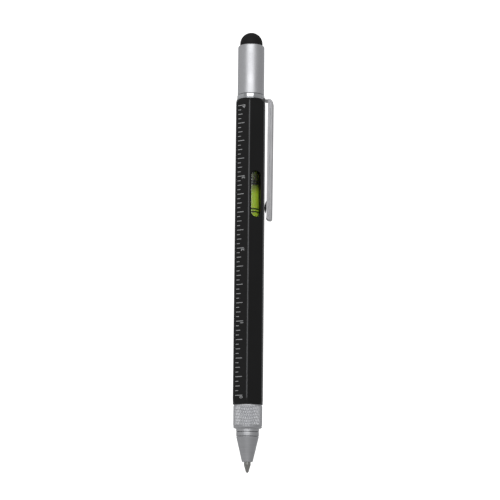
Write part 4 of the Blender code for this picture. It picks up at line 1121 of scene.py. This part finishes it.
@dataclass
class BitHolder:
    """Threaded socket in the barrel's end, its magnet and the double-ended bit."""

    neck_chamfer: float = 0.4 * MM
    socket_corner: float = 2.483 * MM
    neck_wall: float = 0.5 * MM
    body_height: float = 13.7 * MM
    bit_flats: float = 4.0 * MM
    blade_length: float = 6.0 * MM
    blade_radius: float = 1.5 * MM
    blade_tip: float = 0.6 * MM
    cross_length: float = 6.0 * MM
    cross_radius: float = 1.45 * MM
    cross_taper: float = 2.3 * MM
    cross_tip: float = 0.55 * MM
    flute_length: float = 3.0 * MM
    flute_core: float = 0.3 * MM
    shoulder: float = 0.5 * MM
    pocket_radius: float = 1.9 * MM

    def __post_init__(self) -> None:
        """Takes the bit's heights from the frame."""
        self.base, self.top = AXIS.span("screwdriver_bit")
        self.blade_top = self.base + self.blade_length
        self.cross_base = self.top - self.cross_length

    def build(self) -> None:
        """Builds the holder's pieces."""
        self.build_socket()
        self.build_bit()
        carry_over("bit_magnet", MAGNET)

    def build_socket(self) -> None:
        """Builds the socket with the cap's thread round its neck."""
        base, top = AXIS.span("bit_socket")
        body = AXIS.radius("bit_socket")
        neck = self.socket_corner + self.neck_wall
        shoulder = base + self.body_height
        rings = [circle(0, top, SIDES), circle(neck - self.neck_chamfer, top, SIDES)]
        rings += THREAD.rings(neck, top - self.neck_chamfer, shoulder + CLEAR, SIDES)
        outline = [(neck, shoulder), (body, shoulder), (body, base), (0, base)]
        socket = lofted("threaded_bit_socket", rings + [circle(*corner, SIDES) for corner in outline])
        hole = (top + CLEAR, self.base - SEAM)
        combined(socket, column("hexagon_cutter", hexagon(self.socket_corner), hole))
        floor = AXIS.span("bit_magnet")[0] - SEAM
        combined(socket, rod("magnet_pocket_cutter", self.pocket_radius, self.base + CLEAR, floor))
        dress(socket, "barrel", PLATED_STEEL, ["bit_socket"])

    def build_bit(self) -> None:
        """Builds the bit: hexagonal shank with eased shoulders, a flat blade and a cross point."""
        corner = self.bit_flats / 2 / COS_30
        bit = column("double_ended_bit", hexagon(corner), (self.cross_base, self.blade_top))
        narrow, wide = corner - self.shoulder - CLEAR, corner + CLEAR
        high, low = self.cross_base + CLEAR, self.blade_top - CLEAR
        combined(bit, turned("shoulder_tool", [
            (0, high), (narrow, high), (wide, self.cross_base - self.shoulder - CLEAR),
            (wide, self.blade_top + self.shoulder + CLEAR), (narrow, low), (0, low),
        ], 64), "INTERSECT")
        lap = self.blade_length / 10
        combined(bit, rod("blade_tool", self.blade_radius, self.blade_top + lap, self.base), "UNION")
        combined(bit, turned("point_tool", [
            (0, self.top), (self.cross_tip, self.top), (self.cross_radius, self.top - self.cross_taper),
            (self.cross_radius, self.cross_base - lap), (0, self.cross_base - lap),
        ], SIDES // 2), "UNION")
        for side in (-1, 1):
            combined(bit, self.blade_side(side))
        self.cut_flutes(bit)
        dress(bit, "bit", TOOL_STEEL, ["screwdriver_bit"])

    def blade_side(self, side: int) -> Piece:
        """A cutter that thins the blade on one side.

        Args:
            side: which side, as a sign.

        Returns:
            The cutter.
        """
        thin, wide = side * self.blade_tip / 2, side * (self.blade_radius + CLEAR)
        low, high = self.base - CLEAR, self.base + self.blade_length * 3 / 4
        wedge = [
            (thin, low), (thin, self.base + self.blade_length / 4), (side * self.blade_radius, high),
            (wide, high), (wide, low),
        ]
        return plate("wedge_cutter", wedge, self.blade_radius + CLEAR)

    def cut_flutes(self, bit: Piece) -> None:
        """Cuts the four flutes of the cross point.

        Args:
            bit: the bit.
        """
        half = self.cross_radius
        slope = math.atan((half - self.flute_core) / self.flute_length)
        foot = Matrix.Translation((half + half * math.sqrt(2), 0, self.top - self.flute_length))
        leaning = Matrix.Rotation(-slope, 4, "Y") @ Matrix.Rotation(math.pi / 4, 4, "Z")
        for quarter in range(4):
            flute = block("flute_cutter", (-half, -half, 0), (half, half, self.flute_length * 2))
            round_axis = Matrix.Rotation(math.pi / 4 + quarter * math.pi / 2, 4, "Z")
            flute.data.transform(round_axis @ foot @ leaning)
            combined(bit, flute)


@dataclass
class Vial:
    """Level vial under the window: clear tube, printed rings, lime liquid and its plug."""

    barrel: Barrel
    wall: float = 0.27 * MM
    floor: float = 1.0 * MM
    floor_round: float = 0.3 * MM
    inner_round: float = 0.2 * MM
    mouth_edge: float = 0.08 * MM
    ring_width: float = 0.42 * MM
    ring_film: float = 0.015 * MM
    pair_width: float = 1.45 * MM
    first_pair: float = 2.45 * MM
    pair_spacing: float = 9.9 * MM
    meniscus: float = 0.45 * MM
    wetting: float = 0.02 * MM
    clinging_film: float = 0.10 * MM

    def __post_init__(self) -> None:
        """Takes the vial's radius and its offset from the axis from the frame."""
        low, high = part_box("vial_tube")
        self.radius = (high.y - low.y) / 2
        self.offset = (high.z + low.z) / 2 - AXIS.height

    def present(
        self, name: str, outline: Profile, finish: Look, nodes: Sequence[str] = (),
    ) -> None:
        """Turns a piece about the vial's own axis and presents it.

        Args:
            name: name of the piece.
            outline: its (radius, height) points.
            finish: its finish.
            nodes: CAD nodes that it stands for.
        """
        piece = turned(name, outline, SIDES)
        piece.data.transform(Matrix.Translation((self.offset, 0, 0)))
        dress(piece, "barrel", finish, nodes, weighted=False)

    def build(self) -> None:
        """Builds the vial's pieces."""
        base, top = AXIS.span("vial_tube")
        bore = self.radius - self.wall
        self.present("clear_vial", eased([
            (0, base, 0), (self.radius, base, self.floor_round), (self.radius, top, self.mouth_edge),
            (bore, top, 0), (bore, base + self.floor, self.inner_round), (0, base + self.floor, 0),
        ]), ACRYLIC, ["vial_tube"])
        self.build_rings()
        self.build_liquid(bore + self.wetting)
        carry_over("vial_plug", WHITE_PLASTIC)
        carry_over("vial_holder", BLACK_PLASTIC)

    def build_rings(self) -> None:
        """Builds the two pairs of printed rings."""
        inner, outer = self.radius - self.ring_film, self.radius + self.ring_film
        for pair in range(2):
            middle = self.barrel.window_base + self.first_pair + pair * self.pair_spacing
            for side, mark in ((-1, "a"), (1, "b")):
                centre = middle + side * (self.pair_width - self.ring_width) / 2
                low, high = centre - self.ring_width / 2, centre + self.ring_width / 2
                corners = [(outer, high, self.ring_film), (outer, low, self.ring_film), (inner, low, 0)]
                outline = eased(corners + [(inner, high, 0)])
                self.present(f"level_ring_{pair + 1}{mark}", outline, PRINTED_BLACK)

    def build_liquid(self, wall: float) -> None:
        """Builds the liquid with its hollow meniscus and the film that clings to the wall round the bubble.

        Args:
            wall: its radius, a touch inside the tube's wall.
        """
        base, top = AXIS.span("vial_liquid")
        film_top = AXIS.span("vial_plug")[0]
        hollow = wall - self.clinging_film
        steps = 16
        shares = [step / steps for step in range(steps + 1)]
        outline = [(hollow * share, top - self.meniscus * (1 - share ** 2)) for share in shares]
        outline += [(hollow, film_top), (wall, film_top), (wall, base), (0, base)]
        self.present("lime_liquid_column", outline, LIME_SPIRIT, ["vial_liquid"])


class TwistMechanism:
    """The pieces inside the barrel that turn and carry the refill, in the frame's own shapes."""

    FINISHES: dict[str, Finish] = {
        "mechanism_bush": BRASS, "friction_ring": RUBBER, "thrust_washer": WHITE_PLASTIC,
        "cam_sleeve": WHITE_PLASTIC, "drive_tube": BRASS, "retaining_ring": PLATED_STEEL,
        "refill_carrier": WHITE_PLASTIC, "carrier_lug": PLATED_STEEL,
    }

    def build(self) -> None:
        """Gives each piece its finish."""
        for node, finish in self.FINISHES.items():
            carry_over(node, finish)


@dataclass
class Grip:
    """Knurled grip with its brass insert."""

    columns: int = 368
    rows: int = 84
    diamonds: int = 46
    diamond_height: float = 2.03 * MM
    depth: float = 0.16 * MM
    flattened_share: float = 0.40
    land: float = 0.25 * MM
    nose_length: float = 1.62 * MM
    neck_length: float = 0.8 * MM
    neck_radius: float = 3.92 * MM
    neck_fillet: float = 0.2 * MM
    insert_wall: float = 0.6 * MM
    thread_length: float = 6.4 * MM

    def build(self) -> None:
        """Builds the grip and its insert, threaded where the cone screws in."""
        self.build_sleeve()
        threaded_bush("threaded_grip_insert", "grip_insert", "grip", self.insert_wall, self.thread_length)

    def groove(self, turn: float, height: float) -> float:
        """Depth of the knurl at a place.

        Args:
            turn: place round the axis, as a share of a full turn.
            height: height above the tip.

        Returns:
            0 on a diamond's flat top and 1 at the bottom of a groove.
        """
        across, along = turn * self.diamonds, height / self.diamond_height
        ridges = [1 - abs(2 * ((across + hand * along) % 1.0) - 1) for hand in (-1, 1)]
        return 1 - min(1.0, min(ridges) / self.flattened_share)

    def build_sleeve(self) -> None:
        """Builds the sleeve: a plain edge at each end of the knurl and a rounded nose."""
        base, top = AXIS.span("knurled_grip")
        radius = AXIS.radius("knurled_grip")
        bore = AXIS.radius("grip_insert") + SLIP
        plain = radius - self.depth
        low, high = base + self.nose_length + self.land, top - self.land
        rings = [circle(bore, top, self.columns), circle(plain, top, self.columns)]
        for row in range(self.rows, -1, -1):
            height = low + (high - low) * row / self.rows
            fade = min(1.0, (high - height) / self.land, (height - low) / self.land)
            rings.append(ring_of(
                height, self.columns,
                lambda turn: radius - self.depth * (1 - (1 - self.groove(turn, height)) * fade),
            ))
        nose = radius - self.neck_radius - self.neck_fillet
        foot = base + self.neck_length + self.neck_fillet
        inner = self.neck_radius + self.neck_fillet
        outline = [(plain, low - self.land / 3)]
        outline += oval(
            (inner, base + self.nose_length), (nose, base + self.nose_length - foot), 0, -math.pi / 2, 14,
        )
        outline += arc((inner, foot - self.neck_fillet), self.neck_fillet, math.pi / 2, math.pi, 6)[1:]
        outline += [(self.neck_radius, base), (bore, base)]
        rings += [circle(*corner, self.columns) for corner in outline]
        sleeve = lofted("knurled_sleeve", rings, looped=True)
        dress(sleeve, "grip", SATIN_ALUMINIUM, ["knurled_grip"], weighted=False)


@dataclass
class Nose:
    """Plain ring and cone in front of the grip, with the cone's threaded spigot."""

    sides: int = 160
    mouth_wall: float = 0.475 * MM
    mouth_round: float = 0.25 * MM
    bore: float = 1.425 * MM
    spigot_length: float = 6.0 * MM
    spigot_radius: float = 2.425 * MM
    chamfer: float = 0.4 * MM
    edge: float = 0.12 * MM

    def build(self) -> None:
        """Builds the ring and the cone."""
        base, top = AXIS.span("cone_ring")
        radius, inner = AXIS.radius("cone_ring"), self.spigot_radius + SLIP
        corners = [(radius, top, self.edge), (radius, base, self.edge), (inner, base, 0), (inner, top, 0)]
        ring = turned("plain_ring", eased(corners), self.sides)
        dress(ring, "cone_ring", TURNED_ALUMINIUM, ["cone_ring"])
        self.build_cone()

    def build_cone(self) -> None:
        """Builds the cone, its round mouth and its threaded spigot."""
        base, top = AXIS.span("nose_cone")
        shoulder, spigot = top - self.spigot_length, self.spigot_radius
        mouth = self.bore + self.mouth_wall - self.mouth_round
        rings = [circle(self.bore, top, self.sides), circle(spigot - self.chamfer, top, self.sides)]
        rings += THREAD.rings(spigot, top - self.chamfer, shoulder + self.chamfer, self.sides)
        wide = (AXIS.radius("nose_cone"), shoulder, self.edge)
        outline = [(spigot, shoulder), *eased([(spigot, shoulder, 0), wide, (mouth, base, 0)])[1:-1]]
        outline += arc((mouth, base + self.mouth_round), self.mouth_round, 0, -math.pi / 2, 10)
        rings += [circle(*corner, self.sides) for corner in outline + [(self.bore, base)]]
        cone = lofted("turned_cone", rings, looped=True)
        dress(cone, "cone", TURNED_ALUMINIUM, ["nose_cone"])


@dataclass
class Refill:
    """Small refill: tube, ink, writing point and ball."""

    rim_wall: float = 0.07 * MM
    rim_edge: float = 0.02 * MM
    ball_play: float = 0.04 * MM
    taper: float = 2.45 * MM
    taper_round: float = 0.15 * MM
    edge: float = 0.1 * MM
    channel: float = 0.15 * MM
    wall: float = 0.3 * MM
    shank: float = 3.6 * MM

    def build(self) -> None:
        """Builds the point and the ball, and keeps the tube and the ink."""
        low, high = AXIS.span("refill_ball")
        ball = (high - low) / 2
        self.build_point(ball)
        outline = arc((0, low + ball), ball, math.pi / 2, -math.pi / 2, 24)
        outline[0], outline[-1] = (0, high), (0, low)
        sphere = turned("writing_ball", outline, SIDES // 2)
        dress(sphere, "ball", CARBIDE, ["refill_ball"], weighted=False)
        carry_over("refill_tube", WHITE_PLASTIC)
        carry_over("refill_ink", INK)

    def build_point(self, ball: float) -> None:
        """Builds the writing point with the ball's seat and the ink channel.

        Args:
            ball: the ball's radius.
        """
        base, top = AXIS.span("refill_point")
        radius = AXIS.radius("refill_point")
        seat, shoulder = ball + self.ball_play, top - self.shank
        neck = radius - self.wall - SLIP
        cup = arc((0, ball), seat, 0, math.acos(self.channel / seat), 8)
        point = turned("turned_writing_point", eased([
            (neck, top, self.edge), (neck, shoulder, 0), (radius, shoulder, self.edge),
            (radius, base + self.taper, self.taper_round), (seat + self.rim_wall, base, self.rim_edge),
            (seat, base, 0), *((across, along, 0) for across, along in cup), (self.channel, top, 0),
        ]), SIDES)
        dress(point, "refill", NICKEL_SILVER, ["refill_point"])


# The studio


@dataclass
class Studio:
    """Plain pale floor, one large softbox, a grey room and the camera at the photograph's angle."""

    view_turn: float = math.radians(25.8)
    view_tilt: float = math.radians(9.5)
    view_roll: float = math.radians(0.56)
    camera_distance: float = 537.7 * MM
    aim: tuple[float, float, float] = (0.74 * MM, 0.0, 5.0 * MM)
    aim_right: float = 0.22 * MM
    lens: float = 111.24
    sensor: float = 36.0
    nearest: float = 10 * MM
    floor_size: float = 6.0
    floor_tone: float = 0.62
    room_tone: float = 0.30
    background_share: float = 0.10
    softbox_radiance: float = 1.8
    softbox_distance: float = 0.6
    softbox_side: float = math.radians(-5.5)
    softbox_half_side: float = math.radians(26.0)
    softbox_along: float = math.radians(22.5)
    softbox_half_along: float = math.radians(25.5)

    def __post_init__(self) -> None:
        """Sets up the directions of the view: out of the pen, right and along it."""
        self.out = Vector((0, -math.sin(self.view_turn), math.cos(self.view_turn)))
        self.right = Vector((0, math.cos(self.view_turn), math.sin(self.view_turn)))
        self.along = Vector((1, 0, 0))

    def build(self) -> None:
        """Sets up camera, light, floor and room."""
        self.set_camera()
        self.set_softbox()
        self.set_floor()
        self.set_room()
        bpy.context.scene.view_settings.view_transform = "Standard"

    def set_camera(self) -> None:
        """Stands the camera where the photograph was taken from."""
        back = self.out * math.cos(self.view_tilt) + self.along * math.sin(self.view_tilt)
        up = self.out * math.sin(self.view_tilt) - self.along * math.cos(self.view_tilt)
        rolled_up = up * math.cos(self.view_roll) - self.right * math.sin(self.view_roll)
        rolled_right = self.right * math.cos(self.view_roll) + up * math.sin(self.view_roll)
        data = bpy.data.cameras.new("camera")
        data.lens = self.lens
        data.sensor_width = self.sensor
        data.clip_start = self.nearest
        camera = new_piece("camera", data)
        place = Vector(self.aim) + self.right * self.aim_right + back * self.camera_distance
        camera.matrix_world = standing(rolled_right, rolled_up, back, place)
        bpy.context.scene.camera = camera

    def set_softbox(self) -> None:
        """Hangs the softbox so that its mirror image lies along the cap and the barrel's corner."""
        across = self.out * math.cos(self.softbox_side) + self.right * math.sin(self.softbox_side)
        back = across * math.cos(self.softbox_along) - self.along * math.sin(self.softbox_along)
        right = self.right * math.cos(self.softbox_side) - self.out * math.sin(self.softbox_side)
        data = bpy.data.lights.new("softbox", "AREA")
        data.shape = "RECTANGLE"
        data.size = 2 * self.softbox_distance * math.tan(self.softbox_half_side)
        data.size_y = 2 * self.softbox_distance * math.tan(self.softbox_half_along)
        data.energy = self.softbox_radiance * math.pi * data.size * data.size_y
        place = back * self.softbox_distance + Vector(self.aim)
        new_piece("softbox", data).matrix_world = standing(right, back.cross(right), back, place)

    def seen_white(self, tree: Tree) -> Node:
        """Gives camera rays the whole of a white background, and rays that metal and glass send out a share.

        Args:
            tree: the node tree.

        Returns:
            The node whose value is that share.
        """
        path = add(tree, "LightPath").outputs
        sent = {0: path["Is Glossy Ray"], 1: path["Is Transmission Ray"]}
        bent = add(tree, "Math", {"operation": "ADD"}, sent)
        shares = {"operation": "MULTIPLY_ADD", 1: self.background_share, "use_clamp": True}
        return add(tree, "Math", shares, {0: bent, 2: path["Is Camera Ray"]})

    def set_floor(self) -> None:
        """Lays the pale floor. Camera rays see it white, and the pen's shadow stays on it."""
        half, tone = self.floor_size / 2, self.floor_tone
        mesh = bpy.data.meshes.new("floor")
        corners = [(-half, -half, 0), (half, -half, 0), (half, half, 0), (-half, half, 0)]
        mesh.from_pydata(corners, [], [range(4)])
        floor = new_piece("floor", mesh)
        material = bpy.data.materials.new("pale_paper_floor")
        tree = blank(material)
        diffuse = add(tree, "BsdfDiffuse", {"Color": (tone, tone, tone, 1)})
        glow = add(tree, "Emission", {"Color": (1, 1, 1, 1)}, {"Strength": self.seen_white(tree)})
        add(tree, "OutputMaterial", links={"Surface": add(tree, "AddShader", links={0: diffuse, 1: glow})})
        floor.data.materials.append(material)

    def set_room(self) -> None:
        """Fills the room with an even grey, which camera rays see white."""
        world = bpy.data.worlds.new("studio_room")
        tree, tone = blank(world), self.room_tone
        tones = {"data_type": "RGBA", 6: (tone, tone, tone, 1), 7: (1, 1, 1, 1)}
        colour = add(tree, "Mix", tones, {0: self.seen_white(tree)}).outputs[2]
        background = add(tree, "Background", {"Strength": 1.0}, {"Color": colour})
        add(tree, "OutputWorld", links={"Surface": background})
        bpy.context.scene.world = world


def main() -> None:
    """Builds the pen's sub-assemblies and the studio."""
    logging.basicConfig(level=logging.INFO, format="%(name)s %(message)s")
    barrel = Barrel()
    clip = Clip(barrel)
    inches = {1: 1.2 * MM, 2: 1.8 * MM, 4: 2.65 * MM, 16: 2.9 * MM}
    centimetres = {1: 1.2 * MM, 5: 2.0 * MM, 10: 2.9 * MM}
    for part in (
        barrel,
        Scale("inch_scale", -math.pi / 3, INCH / 16, 4 * 16 + 1, 16, inches, barrel),
        Scale("centimetre_scale", -2 * math.pi / 3, MM, 10 * 10 + 1, 10, centimetres, barrel),
        clip, CapEnd(clip), BitHolder(), Vial(barrel), TwistMechanism(), Grip(), Nose(), Refill(), Studio(),
    ):
        part.build()


if __name__ == "__main__":
    main()
